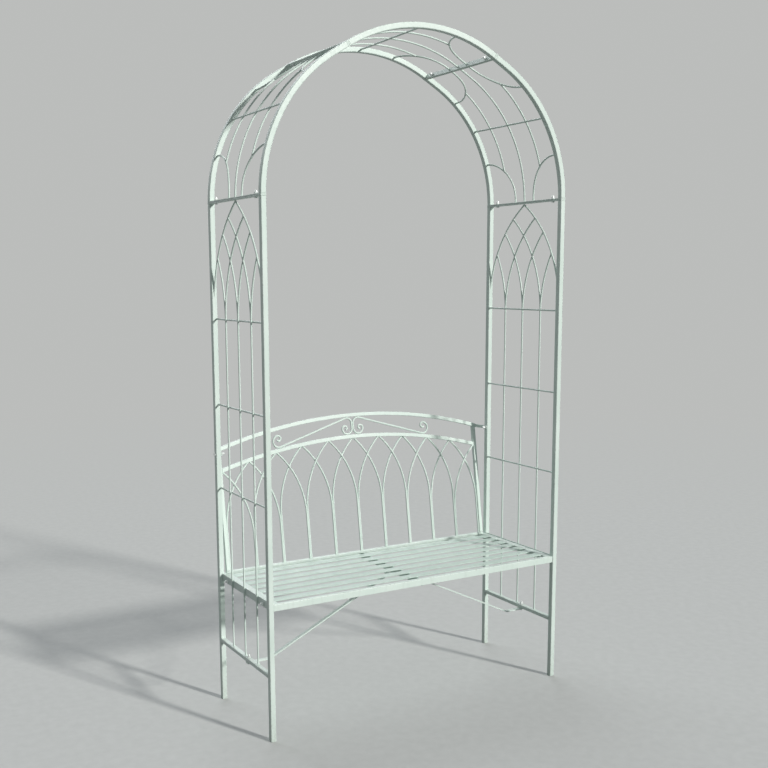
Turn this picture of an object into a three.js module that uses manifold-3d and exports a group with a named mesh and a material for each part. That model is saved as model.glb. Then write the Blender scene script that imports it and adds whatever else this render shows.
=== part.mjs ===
// Arbour seat in painted steel: two side panels of square tube filled with gothic tracery, an
// arch in three bolted sections, a slatted seat with two braces, and a leaning backrest with
// an interlaced arcade and two scrolls.
// Millimetres, +X to the right, +Y to the back, +Z up. The origin is on the ground, in the
// middle of the whole width and depth.
import * as THREE from 'three';
import { mergeVertices } from 'three/addons/utils/BufferGeometryUtils.js';
import Module from 'manifold-3d';

const wasm = await Module();
wasm.setup();

const { degToRad, lerp } = THREE.MathUtils;
const fullTurn = 2 * Math.PI;
const halfTurn = Math.PI;
const quarterTurn = Math.PI / 2;

// Whole seat
const span = 1130; // between the left and right post axes
const depth = 385; // between the front and rear post axes
const jointHeight = 1700; // where the arch is bolted on the side panels
const seatHeight = 450; // top of the slats

// Fits
const clearance = 0.3; // between two pieces that rest on each other
const weldSink = 0.4; // how far welded rods sink into each other
const overrun = 5; // how far a cut runs past what it cuts
const facetTurn = degToRad(8); // most that one straight facet stands for on a bend
const rodFacetTurn = degToRad(11); // the same on the bent rods
const curlFacetTurn = degToRad(20); // the same on the tight curls of the scrolls

// Tube, bar and rod stock
const tubeSize = 18; // square tube of the posts and of the arch
const tubeWall = 1.5;
const flangeThickness = 4; // flat bars that join the arch and the panels
const rodSize = 6; // round rod of the panels and of the arch
const rodSides = 6;

// Bolts with domed cap nuts
const boltDiameter = 6;
const boltSides = 8;
const holePlay = 1.2; // hole diameter over bolt diameter
const hexAcross = 10; // across the flats of head and nut
const hexSides = 6;
const headTall = 4;
const nutTall = 6;
const domeDiameter = 9;
const domeTall = 6.5;
const domeShoulderShare = 0.62; // share of the dome height where it starts to round over
const domeTopShare = 0.6; // share of the dome diameter at its shoulder

// Side panels
const uprightCount = 3;
const crossRodHeight = 753; // axis of the lowest cross rod
const crossRodPitch = 285;
const crossRodCount = 3;
const traceryRadius = 430; // every arc of the tracery has this radius
const traceryInset = 2.5; // from a post axis to where an outer arc would stand upright
const innerArcDrop = 22; // the inner arcs start to bend so far below the outer ones
const lowerRailTop = 221;
const lowerRailTall = 13;
const seatBarTall = 25;
const seatBarThickness = 3;
const seatBarLift = 2; // top of the seat bar over the slats
const flangeBoltInset = 42.5; // from the post axes

// Arch
const shoulderRadius = 478;
const shoulderTurn = degToRad(60);
const shoulderStraight = 60; // straight end of each outer section at the crown joint
const latticeLead = 11; // straight start of the curved rods

// Seat
const slatCount = 7;
const slatWidth = 30;
const slatThickness = 3;
const angleThickness = 3; // front, rear and end rails are folded from this
const angleWidth = 25; // both legs of the end rails
const railDepth = 14; // top legs of the front and rear rails
const railTall = 22; // standing legs of the front and rear rails
const railSetback = 1.5; // rail faces behind the post faces
const bearerThickness = 4;
const bearerTall = 22; // under the slats
const bearerFootWidth = 64;
const bearerFootDepth = 30;
const seatBoltInset = 54.5; // from the post axes
const seatBoltDrop = 13; // below the top of the slats

// Braces under the seat
const braceWidth = 15;
const braceThickness = 4.5;
const braceOffset = -25; // beside the middle of the seat, under a gap between slats
const braceBendInset = 73; // from the post axis to the lower bend
const braceHeadReach = 34; // from the middle to the upper bend
const braceHeadGap = 7; // from the middle to the upper end
const braceBoltReach = 20; // from the middle to the upper bolt

// Backrest
const backrestLean = degToRad(8);
const bottomRailTall = 5.5;
const backRailSize = 13; // square bar of the top rail, middle rail and end posts
const backrestGap = 11.5; // between an end post of the backrest and a post of the seat
const bayCount = 10;
const arcadeRodSize = 6.5;
const arcadeRadius = 315;
const topRailEnd = 422; // rail axis at the end posts, up the leaning backrest
const topRailRise = 80; // from there to the middle
const middleRailEnd = 347;
const middleRailRise = 76;
const railSteps = 20;
const scrollRodSize = 7;
const scrollSides = 8;
const outerCurlReach = 305; // from the middle to the centre of the outer curl
const outerCurlRadius = 21;
const innerCurlRadius = 19.5;
const curlShares = [1, 1, 0.55, 0.4, 0.3]; // radius of each quarter turn, from the outside in

// Brackets from the backrest to the rear posts
const bracketTall = 12;
const bracketThickness = 3;
const bracketRise = 418; // above the seat
const bracketTail = 12; // length of the tab on the backrest post

// Worked out from the sizes above
const postReach = span / 2;
const postRow = depth / 2;
const uprightPitch = depth / (uprightCount + 1);
const flangeBoltRow = postRow - flangeBoltInset;
const seatBoltRow = postRow - seatBoltInset;
const insideRow = postRow - tubeSize / 2 - clearance; // where rods between the posts end
const insideReach = postReach - tubeSize / 2 - clearance; // where seat rails end
const latticeFoot = uprightPitch / 2; // where the curved rods of the arch leave a flange
const latticeRadius = insideRow - latticeFoot;
const flangeLength = depth + tubeSize;
const flangeTop = jointHeight - clearance / 2;
const flangeUnderside = flangeTop - flangeThickness;
const holeDiameter = boltDiameter + holePlay;
const rodReach = flatReach(rodSize, rodSides);
const seatBarOuter = postReach - rodReach + weldSink;
const seatBarInner = seatBarOuter - seatBarThickness;
const endRailOuter = seatBarInner - clearance;
const slatEnd = endRailOuter - angleWidth - clearance;
const railFace = postRow + tubeSize / 2 - railSetback;
const slatUnderside = seatHeight - slatThickness;
const bearerUnderside = slatUnderside - bearerTall;
const railBack = railFace - railDepth; // edges of the front and rear rails towards the slats
const backrestRow = railFace - railDepth / 2;
const backrestFoot = seatHeight + clearance + bottomRailTall / 2;
const backPostReach = postReach - (tubeSize + backRailSize) / 2 - backrestGap;
const bayWidth = (2 * backPostReach - backRailSize) / bayCount;
const braceBendReach = postReach - braceBendInset;
const bracketHeight = seatHeight + bracketRise;

const paint = new THREE.MeshStandardMaterial({
  color: 0xbfd2c8, roughness: 0.45, metalness: 0.2, flatShading: true,
});
const slatPaint = new THREE.MeshStandardMaterial({
  color: 0xb4cbc3, roughness: 0.5, metalness: 0.2, flatShading: true,
});
const boltPaint = new THREE.MeshStandardMaterial({
  color: 0xdfe5e0, roughness: 0.35, metalness: 0.5, flatShading: true,
});

// Solids

function solidOf(geometry) {
  const bare = geometry.clone();
  bare.deleteAttribute('normal');
  bare.deleteAttribute('uv');
  const merged = mergeVertices(bare);
  const vertProperties = Float32Array.from(merged.attributes.position.array);
  const triVerts = Uint32Array.from(merged.index.array);
  return new wasm.Manifold(new wasm.Mesh({ numProp: 3, vertProperties, triVerts }));
}

function geometryOf(solid) {
  const { vertProperties, triVerts } = solid.getMesh();
  const geometry = new THREE.BufferGeometry();
  geometry.setAttribute('position', new THREE.BufferAttribute(vertProperties, 3));
  geometry.setIndex(new THREE.BufferAttribute(triVerts, 1));
  geometry.computeVertexNormals();
  return geometry;
}

function joined(solids) {
  return solids.reduce((whole, solid) => whole.add(solid));
}

// A box between two opposite corners.
function block([x0, y0, z0], [x1, y1, z1]) {
  const geometry = new THREE.BoxGeometry(x1 - x0, y1 - y0, z1 - z0);
  geometry.translate((x0 + x1) / 2, (y0 + y1) / 2, (z0 + z1) / 2);
  return solidOf(geometry);
}

// A block that reaches as far to the left as to the right, and as far to either side of a row.
function bar(reach, row, halfDepth, bottom, top) {
  return block([-reach, row - halfDepth, bottom], [reach, row + halfDepth, top]);
}

// A cylinder from one point to another.
function pin(from, to, diameter, sides) {
  const axis = new THREE.Vector3().subVectors(to, from);
  const geometry = new THREE.CylinderGeometry(diameter / 2, diameter / 2, axis.length(), sides);
  const turn = new THREE.Quaternion().setFromUnitVectors(
    new THREE.Vector3(0, 1, 0), axis.clone().normalize(),
  );
  geometry.applyQuaternion(turn);
  geometry.translate(...new THREE.Vector3().addVectors(from, to).divideScalar(2));
  return solidOf(geometry);
}

// A bolt hole through a point, along a direction, as long as given to each side.
function hole(centre, direction, halfLength) {
  const reach = direction.clone().multiplyScalar(halfLength + overrun);
  const from = new THREE.Vector3().subVectors(centre, reach);
  const to = new THREE.Vector3().addVectors(centre, reach);
  return pin(from, to, holeDiameter, boltSides);
}

// An outline drawn in X and Z, extruded to equal depths in front of and behind the row Y = 0.
function frontSlab(outline, thickness) {
  const shape = new THREE.Shape(outline);
  const geometry = new THREE.ExtrudeGeometry(shape, { depth: thickness, bevelEnabled: false });
  geometry.translate(0, 0, -thickness / 2);
  geometry.rotateX(quarterTurn);
  return solidOf(geometry);
}

// An outline drawn in X and Y, extruded upwards from a height.
function plate(outline, bottom, thickness) {
  const shape = new THREE.Shape(outline);
  const geometry = new THREE.ExtrudeGeometry(shape, { depth: thickness, bevelEnabled: false });
  geometry.translate(0, 0, bottom);
  return solidOf(geometry);
}

// How far the flats of a many-sided rod are from its axis.
function flatReach(size, sides) {
  return (size / 2) * Math.cos(halfTurn / sides);
}

function section(size, sides) {
  const corners = [];
  for (let corner = 0; corner < sides; corner += 1) {
    const angle = (fullTurn * corner) / sides;
    corners.push(new THREE.Vector2(Math.cos(angle), Math.sin(angle)).multiplyScalar(size / 2));
  }
  return new THREE.Shape(corners);
}

// A curve that an extrusion follows stop by stop, each with its own tangent.
class Route extends THREE.Curve {
  constructor(stops) {
    super();
    this.stops = stops;
  }

  stopAt(share) {
    return this.stops[Math.round(share * (this.stops.length - 1))];
  }

  getPointAt(share, target = new THREE.Vector3()) {
    return target.copy(this.stopAt(share).point);
  }

  getTangentAt(share, target = new THREE.Vector3()) {
    return target.copy(this.stopAt(share).tangent);
  }
}

function rodAlong(stops, size = rodSize, sides = rodSides) {
  const options = { steps: stops.length - 1, extrudePath: new Route(stops) };
  return solidOf(new THREE.ExtrudeGeometry(section(size, sides), options));
}

function straightRod(from, to, size = rodSize, sides = rodSides) {
  const tangent = new THREE.Vector3().subVectors(to, from).normalize();
  return rodAlong([{ point: from, tangent }, { point: to, tangent }], size, sides);
}

// A path in an upright plane, walked over straights and bends. Each run of it has a length and
// the angle that it turns left through.
class WalkedPath {
  constructor(across, up, heading, runs) {
    this.runs = [];
    let spot = { across, up, heading, distance: 0 };
    for (const run of runs) {
      const start = spot;
      spot = this.advance(start, run, run.length);
      this.runs.push({ ...run, start, end: spot.distance });
    }
    this.length = spot.distance;
  }

  // A bend's chord points along its mean heading.
  advance(from, run, travelled) {
    const halfTurned = (run.turn * travelled) / run.length / 2;
    const chord = halfTurned === 0 ? travelled : (travelled * Math.sin(halfTurned)) / halfTurned;
    return {
      across: from.across + chord * Math.cos(from.heading + halfTurned),
      up: from.up + chord * Math.sin(from.heading + halfTurned),
      heading: from.heading + 2 * halfTurned,
      distance: from.distance + travelled,
    };
  }

  at(distance) {
    const run = this.runs.findLast((each) => each.start.distance <= distance) ?? this.runs[0];
    return this.advance(run.start, run, distance - run.start.distance);
  }

  // Distances from one end of a stretch to the other, close enough together on the bends.
  marks(from, to, facet = facetTurn) {
    const marks = [from];
    for (const run of this.runs) {
      const begin = Math.max(from, run.start.distance);
      const end = Math.min(to, run.end);
      if (end > begin) {
        const turned = (Math.abs(run.turn) * (end - begin)) / run.length;
        const steps = Math.max(1, Math.ceil(turned / facet));
        if (begin > marks.at(-1)) marks.push(begin);
        for (let step = 1; step <= steps; step += 1) marks.push(lerp(begin, end, step / steps));
      }
    }
    if (to > marks.at(-1)) marks.push(to);
    return marks;
  }

  // The outline of a stretch with a given width to each side.
  band(from, to, halfWidth) {
    const left = [];
    const right = [];
    for (const mark of this.marks(from, to)) {
      const { across, up, heading } = this.at(mark);
      const normal = new THREE.Vector2(-Math.sin(heading), Math.cos(heading));
      const centre = new THREE.Vector2(across, up);
      left.push(centre.clone().addScaledVector(normal, halfWidth));
      right.unshift(centre.clone().addScaledVector(normal, -halfWidth));
    }
    return [...right, ...left];
  }
}

// The scene

const seat = new THREE.Group();

function add(name, solid, material = paint, parent = seat) {
  const mesh = new THREE.Mesh(geometryOf(solid), material);
  mesh.name = name;
  parent.add(mesh);
  return mesh;
}

const rows = [['front', -1], ['rear', 1]];
const sides = [['left', -1], ['right', 1]];
const alongX = new THREE.Vector3(1, 0, 0);
const alongZ = new THREE.Vector3(0, 0, 1);

// A bolt along +Z that starts at the bearing face of its head and ends in a domed cap nut.
function boltSolid(grip) {
  const hexDiameter = hexAcross / Math.cos(halfTurn / hexSides);
  const up = (height) => new THREE.Vector3(0, 0, height);
  const head = pin(up(-headTall), up(0), hexDiameter, hexSides);
  const shank = pin(up(-headTall / 2), up(grip + nutTall / 2), boltDiameter, boltSides);
  const nut = pin(up(grip), up(grip + nutTall), hexDiameter, hexSides);
  const profile = [
    new THREE.Vector2(0, -nutTall / 2),
    new THREE.Vector2(domeDiameter / 2, -nutTall / 2),
    new THREE.Vector2(domeDiameter / 2, 0),
    new THREE.Vector2((domeDiameter * domeTopShare) / 2, domeTall * domeShoulderShare),
    new THREE.Vector2(0, domeTall),
  ];
  const dome = new THREE.LatheGeometry(profile, boltSides);
  dome.rotateX(quarterTurn);
  dome.translate(0, 0, grip + nutTall);
  return joined([head, shank, nut, solidOf(dome)]);
}

// The stack of pieces that a bolt holds starts at a point and is so thick along a direction.
function addBolt(name, from, direction, stack) {
  const mesh = add(name, boltSolid(stack + 2 * clearance), boltPaint);
  mesh.quaternion.setFromUnitVectors(alongZ, direction);
  mesh.position.copy(from).addScaledVector(direction, -clearance);
}

// Arch

const crownTurn = 2 * (quarterTurn - shoulderTurn);
const shoulderRun = shoulderRadius * (1 - Math.cos(shoulderTurn));
const crownReach = postReach - shoulderRun - shoulderStraight * Math.sin(shoulderTurn);
const crownRadius = crownReach / Math.sin(crownTurn / 2);
const shoulder = { length: shoulderRadius * shoulderTurn, turn: shoulderTurn };
const straight = { length: shoulderStraight, turn: 0 };
const crown = { length: crownRadius * crownTurn, turn: crownTurn };
const archPath = new WalkedPath(
  postReach, jointHeight, quarterTurn, [shoulder, straight, crown, straight, shoulder],
);
const crownStart = shoulder.length + straight.length;
const archJoints = [0, crownStart, crownStart + crown.length, archPath.length];
const archSections = ['right', 'crown', 'left'];

// A point on the curved sheet between the arch tubes, with the direction of a rod there that
// leans across from the arch by an angle.
function archStop(distance, row, lean) {
  const { across, up, heading } = archPath.at(distance);
  const point = new THREE.Vector3(across, row, up);
  const tangent = new THREE.Vector3(
    Math.cos(lean) * Math.cos(heading), Math.sin(lean), Math.cos(lean) * Math.sin(heading),
  );
  return { point, tangent };
}

function flangeBar() {
  const half = [tubeSize / 2, flangeLength / 2, flangeThickness / 2];
  const flange = block(half.map((size) => -size), half);
  const cuts = rows.map(([, row]) => hole(
    new THREE.Vector3(0, row * flangeBoltRow, 0), alongZ, flangeThickness / 2,
  ));
  return flange.subtract(joined(cuts));
}

// A flange lies across the arch, its middle at a distance along it.
function addFlange(name, distance) {
  const { across, up, heading } = archPath.at(distance);
  const mesh = add(name, flangeBar());
  mesh.position.set(across, 0, up);
  mesh.rotation.y = quarterTurn - heading;
}

function archTube(from, to) {
  const shell = frontSlab(archPath.band(from, to, tubeSize / 2), tubeSize);
  const boreHalf = tubeSize / 2 - tubeWall;
  const bore = frontSlab(archPath.band(from - overrun, to + overrun, boreHalf), 2 * boreHalf);
  return shell.subtract(bore);
}

// The curved rods leave a flange side by side and sweep out to the tubes in a quarter circle.
function latticeCurve(from, direction, side) {
  const steps = Math.ceil(quarterTurn / rodFacetTurn);
  const stops = [archStop(from, side * latticeFoot, 0)];
  for (let step = 0; step <= steps; step += 1) {
    const angle = (quarterTurn * step) / steps;
    const distance = from + direction * (latticeLead + latticeRadius * Math.sin(angle));
    const row = side * (latticeFoot + latticeRadius * (1 - Math.cos(angle)));
    stops.push(archStop(distance, row, side * angle));
  }
  if (direction < 0) {
    for (const { tangent } of stops) tangent.set(-tangent.x, tangent.y, -tangent.z);
  }
  return rodAlong(stops);
}

function archLattice(from, to) {
  const meetAngle = Math.acos(1 - (uprightPitch - latticeFoot) / latticeRadius);
  const meet = latticeLead + latticeRadius * Math.sin(meetAngle);
  const long = (begin, end, row) => rodAlong(
    archPath.marks(begin, end, rodFacetTurn).map((mark) => archStop(mark, row, 0)),
  );
  const rods = [long(from, to, 0)];
  for (const [, side] of sides) {
    rods.push(long(from + meet, to - meet, side * uprightPitch));
    rods.push(latticeCurve(from, 1, side));
    rods.push(latticeCurve(to, -1, side));
  }
  const middle = (from + to) / 2;
  const ends = rows.map(([, row]) => archStop(middle, row * insideRow, 0).point);
  rods.push(straightRod(...ends));
  return joined(rods);
}

function addArch() {
  archSections.forEach((place, index) => {
    const from = archJoints[index] + clearance / 2;
    const to = archJoints[index + 1] - clearance / 2;
    addFlange(`arch_${place}_first_flange`, from + flangeThickness / 2);
    addFlange(`arch_${place}_second_flange`, to - flangeThickness / 2);
    const begin = from + flangeThickness + clearance;
    const end = to - flangeThickness - clearance;
    const tube = archTube(begin, end);
    for (const [rowName, row] of rows) {
      add(`arch_${place}_${rowName}_tube`, tube).position.y = row * postRow;
    }
    add(`arch_${place}_lattice`, archLattice(begin, end));
  });
  const stack = 2 * flangeThickness + clearance;
  for (const [sideName, side] of sides) {
    const joint = side > 0 ? crownStart : archPath.length - crownStart;
    const { across, up, heading } = archPath.at(joint);
    const direction = new THREE.Vector3(Math.cos(heading), 0, Math.sin(heading));
    direction.multiplyScalar(side);
    for (const [place, row] of rows) {
      const centre = new THREE.Vector3(across, row * flangeBoltRow, up);
      const start = centre.clone().addScaledVector(direction, -stack / 2);
      addBolt(`arch_${sideName}_${place}_bolt`, start, direction, stack);
      const foot = new THREE.Vector3(side * postReach, centre.y, flangeUnderside);
      addBolt(`${sideName}_panel_${place}_bolt`, foot, alongZ, stack);
    }
  }
}

// Side panels

function postTube(height) {
  const outer = tubeSize / 2;
  const bore = outer - tubeWall;
  const shell = block([-outer, -outer, 0], [outer, outer, height]);
  return shell.subtract(block([-bore, -bore, -overrun], [bore, bore, height + overrun]));
}

function lowerRail() {
  const half = tubeSize / 2;
  const bore = half - tubeWall;
  const bottom = lowerRailTop - lowerRailTall;
  const shell = block([-half, -insideRow, bottom], [half, insideRow, lowerRailTop]);
  const hollow = block(
    [-bore, -insideRow - overrun, bottom + tubeWall],
    [bore, insideRow + overrun, lowerRailTop - tubeWall],
  );
  const middle = new THREE.Vector3(0, braceOffset, lowerRailTop - lowerRailTall / 2);
  return shell.subtract(hollow).subtract(hole(middle, alongZ, lowerRailTall / 2));
}

// The outer arcs leave the posts at a slant and meet close under the flange.
const traceryReach = postRow - traceryInset;
const traceryRise = Math.sqrt(traceryRadius ** 2 - (traceryRadius - traceryReach) ** 2);
const outerSpring = flangeUnderside - clearance - rodSize / 2 - traceryRise;
const innerSpring = outerSpring - innerArcDrop;

// An arc of the tracery that stands upright at its foot and bends over by a turn.
function traceryArc(row, direction, spring, turn) {
  const steps = Math.ceil(turn / rodFacetTurn);
  const stops = [];
  for (let step = 0; step <= steps; step += 1) {
    const angle = (turn * step) / steps;
    const across = row + direction * traceryRadius * (1 - Math.cos(angle));
    const up = spring + traceryRadius * Math.sin(angle);
    stops.push({
      point: new THREE.Vector3(0, across, up),
      tangent: new THREE.Vector3(0, direction * Math.sin(angle), Math.cos(angle)),
    });
  }
  return rodAlong(stops);
}

// How far an inner arc bends over until it meets the outer arc that it runs towards.
function meetingTurn(row, direction) {
  const inner = new THREE.Vector2(direction * row + traceryRadius, innerSpring);
  const outer = new THREE.Vector2(traceryReach - traceryRadius, outerSpring);
  const between = new THREE.Vector2().subVectors(outer, inner);
  return halfTurn - between.angle() + Math.acos(between.length() / 2 / traceryRadius);
}

function uprightRow(index) {
  return uprightPitch * (index - (uprightCount - 1) / 2);
}

// The rods of a panel stand in the plane of the posts, and the cross rods and the bar that
// carries the seat are welded on their inner side. The rods are cut to the faces of the posts.
function panelGrille(side) {
  const pieces = [];
  const lowEnd = lowerRailTop + clearance;
  const outerTurn = Math.acos(1 - traceryReach / traceryRadius);
  for (const direction of [-1, 1]) {
    pieces.push(traceryArc(-direction * traceryReach, direction, outerSpring, outerTurn));
    for (let index = 0; index < uprightCount; index += 1) {
      const row = uprightRow(index);
      pieces.push(traceryArc(row, direction, innerSpring, meetingTurn(row, direction)));
    }
  }
  for (let index = 0; index < uprightCount; index += 1) {
    const row = uprightRow(index);
    pieces.push(straightRod(
      new THREE.Vector3(0, row, lowEnd), new THREE.Vector3(0, row, innerSpring),
    ));
  }
  const inward = -side * (2 * rodReach - weldSink);
  for (let index = 0; index < crossRodCount; index += 1) {
    const height = crossRodHeight + crossRodPitch * index;
    pieces.push(straightRod(
      new THREE.Vector3(inward, -insideRow, height), new THREE.Vector3(inward, insideRow, height),
    ));
  }
  const faces = [seatBarInner, seatBarOuter].map((reach) => side * (reach - postReach));
  const barTop = seatHeight + seatBarLift;
  pieces.push(block(
    [Math.min(...faces), -insideRow, barTop - seatBarTall], [Math.max(...faces), insideRow, barTop],
  ));
  const cuts = [];
  for (const [, row] of rows) {
    const bolt = new THREE.Vector3(faces[0], row * seatBoltRow, seatHeight - seatBoltDrop);
    cuts.push(hole(bolt, alongX, seatBarThickness));
    const ends = [row * insideRow, row * (postRow + overrun)];
    cuts.push(block(
      [-rodSize, Math.min(...ends), outerSpring - overrun], [rodSize, Math.max(...ends), flangeTop],
    ));
  }
  return joined(pieces).subtract(joined(cuts));
}

function addSidePanels() {
  const postHeight = flangeUnderside - clearance;
  const bracketHole = hole(new THREE.Vector3(0, 0, bracketHeight), alongX, tubeSize / 2);
  for (const [sideName, side] of sides) {
    const post = postTube(postHeight);
    const frontPost = add(`${sideName}_front_post`, post);
    frontPost.position.set(side * postReach, -postRow, 0);
    const rearPost = add(`${sideName}_rear_post`, post.subtract(bracketHole));
    rearPost.position.set(side * postReach, postRow, 0);
    const flange = add(`${sideName}_panel_flange`, flangeBar());
    flange.position.set(side * postReach, 0, flangeTop - flangeThickness / 2);
    add(`${sideName}_lower_rail`, lowerRail()).position.x = side * postReach;
    add(`${sideName}_grille`, panelGrille(side)).position.x = side * postReach;
  }
}

// Seat

// The front rail is a folded angle. The rear rail is the same angle turned round.
function seatRail() {
  const leg = block(
    [-insideReach, -railFace, seatHeight - railTall],
    [insideReach, -railFace + angleThickness, seatHeight],
  );
  const top = block(
    [-insideReach, -railFace, seatHeight - angleThickness],
    [insideReach, -railBack, seatHeight],
  );
  return leg.add(top);
}

// The end rails lie on the inside of the seat bars. Their ends are cut clear of the posts.
function endRail() {
  const reach = railBack - clearance;
  const bottom = seatHeight - angleWidth;
  const legInner = endRailOuter - angleThickness;
  const leg = block([legInner, -reach, bottom], [endRailOuter, reach, seatHeight]);
  const top = block(
    [endRailOuter - angleWidth, -reach, seatHeight - angleThickness],
    [endRailOuter, reach, seatHeight],
  );
  const cuts = rows.flatMap(([, row]) => {
    const ends = [row * insideRow, row * (reach + overrun)];
    const postCut = block(
      [insideReach, Math.min(...ends), bottom - overrun],
      [endRailOuter + overrun, Math.max(...ends), seatHeight + overrun],
    );
    const bolt = new THREE.Vector3(
      legInner, row * seatBoltRow, seatHeight - seatBoltDrop,
    );
    return [postCut, hole(bolt, alongX, angleThickness)];
  });
  return leg.add(top).subtract(joined(cuts));
}

// The slats are welded on a bearer that runs from front to back, with a foot for the braces.
function slatDeck() {
  const gap = (2 * railBack - slatCount * slatWidth) / (slatCount + 1);
  const pieces = [];
  for (let index = 0; index < slatCount; index += 1) {
    const row = (slatWidth + gap) * (index - (slatCount - 1) / 2);
    pieces.push(bar(slatEnd, row, slatWidth / 2, slatUnderside, seatHeight));
  }
  const web = bearerThickness / 2;
  const longHalf = railFace - angleThickness - clearance;
  const railUnderside = seatHeight - angleThickness - clearance;
  const weldTop = slatUnderside + weldSink;
  pieces.push(bar(web, 0, longHalf, bearerUnderside, Math.min(railUnderside, weldTop)));
  pieces.push(bar(web, 0, railBack - clearance, bearerUnderside, weldTop));
  pieces.push(bar(
    bearerFootWidth / 2, braceOffset, bearerFootDepth / 2,
    bearerUnderside, bearerUnderside + bearerThickness,
  ));
  const cuts = sides.map(([, side]) => hole(
    new THREE.Vector3(side * braceBoltReach, braceOffset, bearerUnderside), alongZ, bearerThickness,
  ));
  return joined(pieces).subtract(joined(cuts));
}

// A brace is a flat bar with a level foot under the lower rail and a level head under the seat.
function brace(side) {
  const foot = lowerRailTop - lowerRailTall - clearance - braceThickness / 2;
  const head = bearerUnderside - clearance - braceThickness / 2;
  const slope = Math.atan2(head - foot, braceBendReach - braceHeadReach);
  const bend = (braceThickness / 2) * Math.tan(slope / 2);
  const end = postReach + tubeSize / 2;
  const half = braceThickness / 2;
  const points = [
    [end, foot - half], [end, foot + half],
    [braceBendReach + bend, foot + half], [braceHeadReach + bend, head + half],
    [braceHeadGap, head + half], [braceHeadGap, head - half],
    [braceHeadReach - bend, head - half], [braceBendReach - bend, foot - half],
  ].map(([x, z]) => new THREE.Vector2(side * x, z));
  const cuts = [[postReach, foot], [braceBoltReach, head]].map(([reach, height]) => hole(
    new THREE.Vector3(side * reach, 0, height), alongZ, braceThickness / 2,
  ));
  return frontSlab(points, braceWidth).subtract(joined(cuts));
}

function addSeat() {
  const rail = seatRail();
  add('seat_front_rail', rail);
  add('seat_rear_rail', rail).rotation.z = halfTurn;
  add('seat_slats', slatDeck(), slatPaint);
  const end = endRail();
  add('seat_right_end_rail', end);
  add('seat_left_end_rail', end).rotation.z = halfTurn;
  const endStack = seatBarOuter - endRailOuter + angleThickness;
  for (const [sideName, side] of sides) {
    const outward = alongX.clone().multiplyScalar(side);
    for (const [place, row] of rows) {
      const start = new THREE.Vector3(
        side * (endRailOuter - angleThickness), row * seatBoltRow,
        seatHeight - seatBoltDrop,
      );
      addBolt(`${sideName}_seat_${place}_bolt`, start, outward, endStack);
    }
    add(`${sideName}_brace`, brace(side)).position.y = braceOffset;
    const foot = lowerRailTop - lowerRailTall - clearance - braceThickness;
    const footStart = new THREE.Vector3(side * postReach, braceOffset, foot);
    addBolt(`${sideName}_brace_foot_bolt`, footStart, alongZ, lowerRailTop - foot);
    const head = bearerUnderside - clearance - braceThickness;
    const headStart = new THREE.Vector3(side * braceBoltReach, braceOffset, head);
    const headStack = braceThickness + clearance + bearerThickness;
    addBolt(`${sideName}_brace_head_bolt`, headStart, alongZ, headStack);
  }
}

// Backrest, drawn upright in X and Z with the foot of its lean at the origin

// A rail that is bowed upwards, from its height at the end posts and its rise in the middle.
class BowedRail {
  constructor(end, rise) {
    this.radius = (backPostReach ** 2 + rise ** 2) / (2 * rise);
    this.centre = end + rise - this.radius;
  }

  heightAt(across, offset) {
    return this.centre + Math.sqrt((this.radius + offset) ** 2 - across ** 2);
  }

  slopeAt(across) {
    return Math.asin(across / this.radius);
  }

  // The rail between two upright end cuts, grown by a margin on all its long faces.
  solid(reach, margin) {
    const half = backRailSize / 2 + margin;
    const edge = (offset) => {
      const points = [];
      for (let step = 0; step <= railSteps; step += 1) {
        const across = lerp(-reach, reach, step / railSteps);
        points.push(new THREE.Vector2(across, this.heightAt(across, offset)));
      }
      return points;
    };
    return frontSlab([...edge(-half), ...edge(half).reverse()], 2 * half);
  }
}

const topRail = new BowedRail(topRailEnd, topRailRise);
const middleRail = new BowedRail(middleRailEnd, middleRailRise);

// The lowest height of a leaning piece that keeps clear of the bottom rail.
function leaningFoot(thickness) {
  const drop = (thickness / 2) * Math.sin(backrestLean);
  return (bottomRailTall / 2 + clearance + drop) / Math.cos(backrestLean);
}

function backPost(side, margin) {
  const half = backRailSize / 2 + margin;
  const x = side * backPostReach;
  const foot = leaningFoot(backRailSize) - margin;
  return block([x - half, -half, foot], [x + half, half, topRailEnd]);
}

// A rod stands beside its station and bends over to end above the neighbouring station. On its
// way to the first crossing it also leans to the front or the back, by half a rod.
function arcadeRod(start, target, layer) {
  const direction = Math.sign(target - start);
  const turn = Math.acos(1 - Math.abs(target - start) / arcadeRadius);
  const peak = middleRail.heightAt(target, -backRailSize / 2);
  const spring = peak - arcadeRadius * Math.sin(turn);
  const foot = new THREE.Vector3(start, 0, leaningFoot(arcadeRodSize));
  const stops = [{ point: foot, tangent: alongZ }];
  const steps = Math.ceil(turn / rodFacetTurn);
  const crossingTurn = Math.acos(1 - bayWidth / 2 / arcadeRadius);
  const aside = layer * (flatReach(arcadeRodSize, rodSides) - weldSink / 2);
  for (let step = 0; step <= steps; step += 1) {
    const angle = (turn * step) / steps;
    const across = start + direction * arcadeRadius * (1 - Math.cos(angle));
    stops.push({
      point: new THREE.Vector3(
        across, aside * Math.min(1, angle / crossingTurn), spring + arcadeRadius * Math.sin(angle),
      ),
      tangent: new THREE.Vector3(direction * Math.sin(angle), 0, Math.cos(angle)),
    });
  }
  return rodAlong(stops, arcadeRodSize);
}

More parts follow.
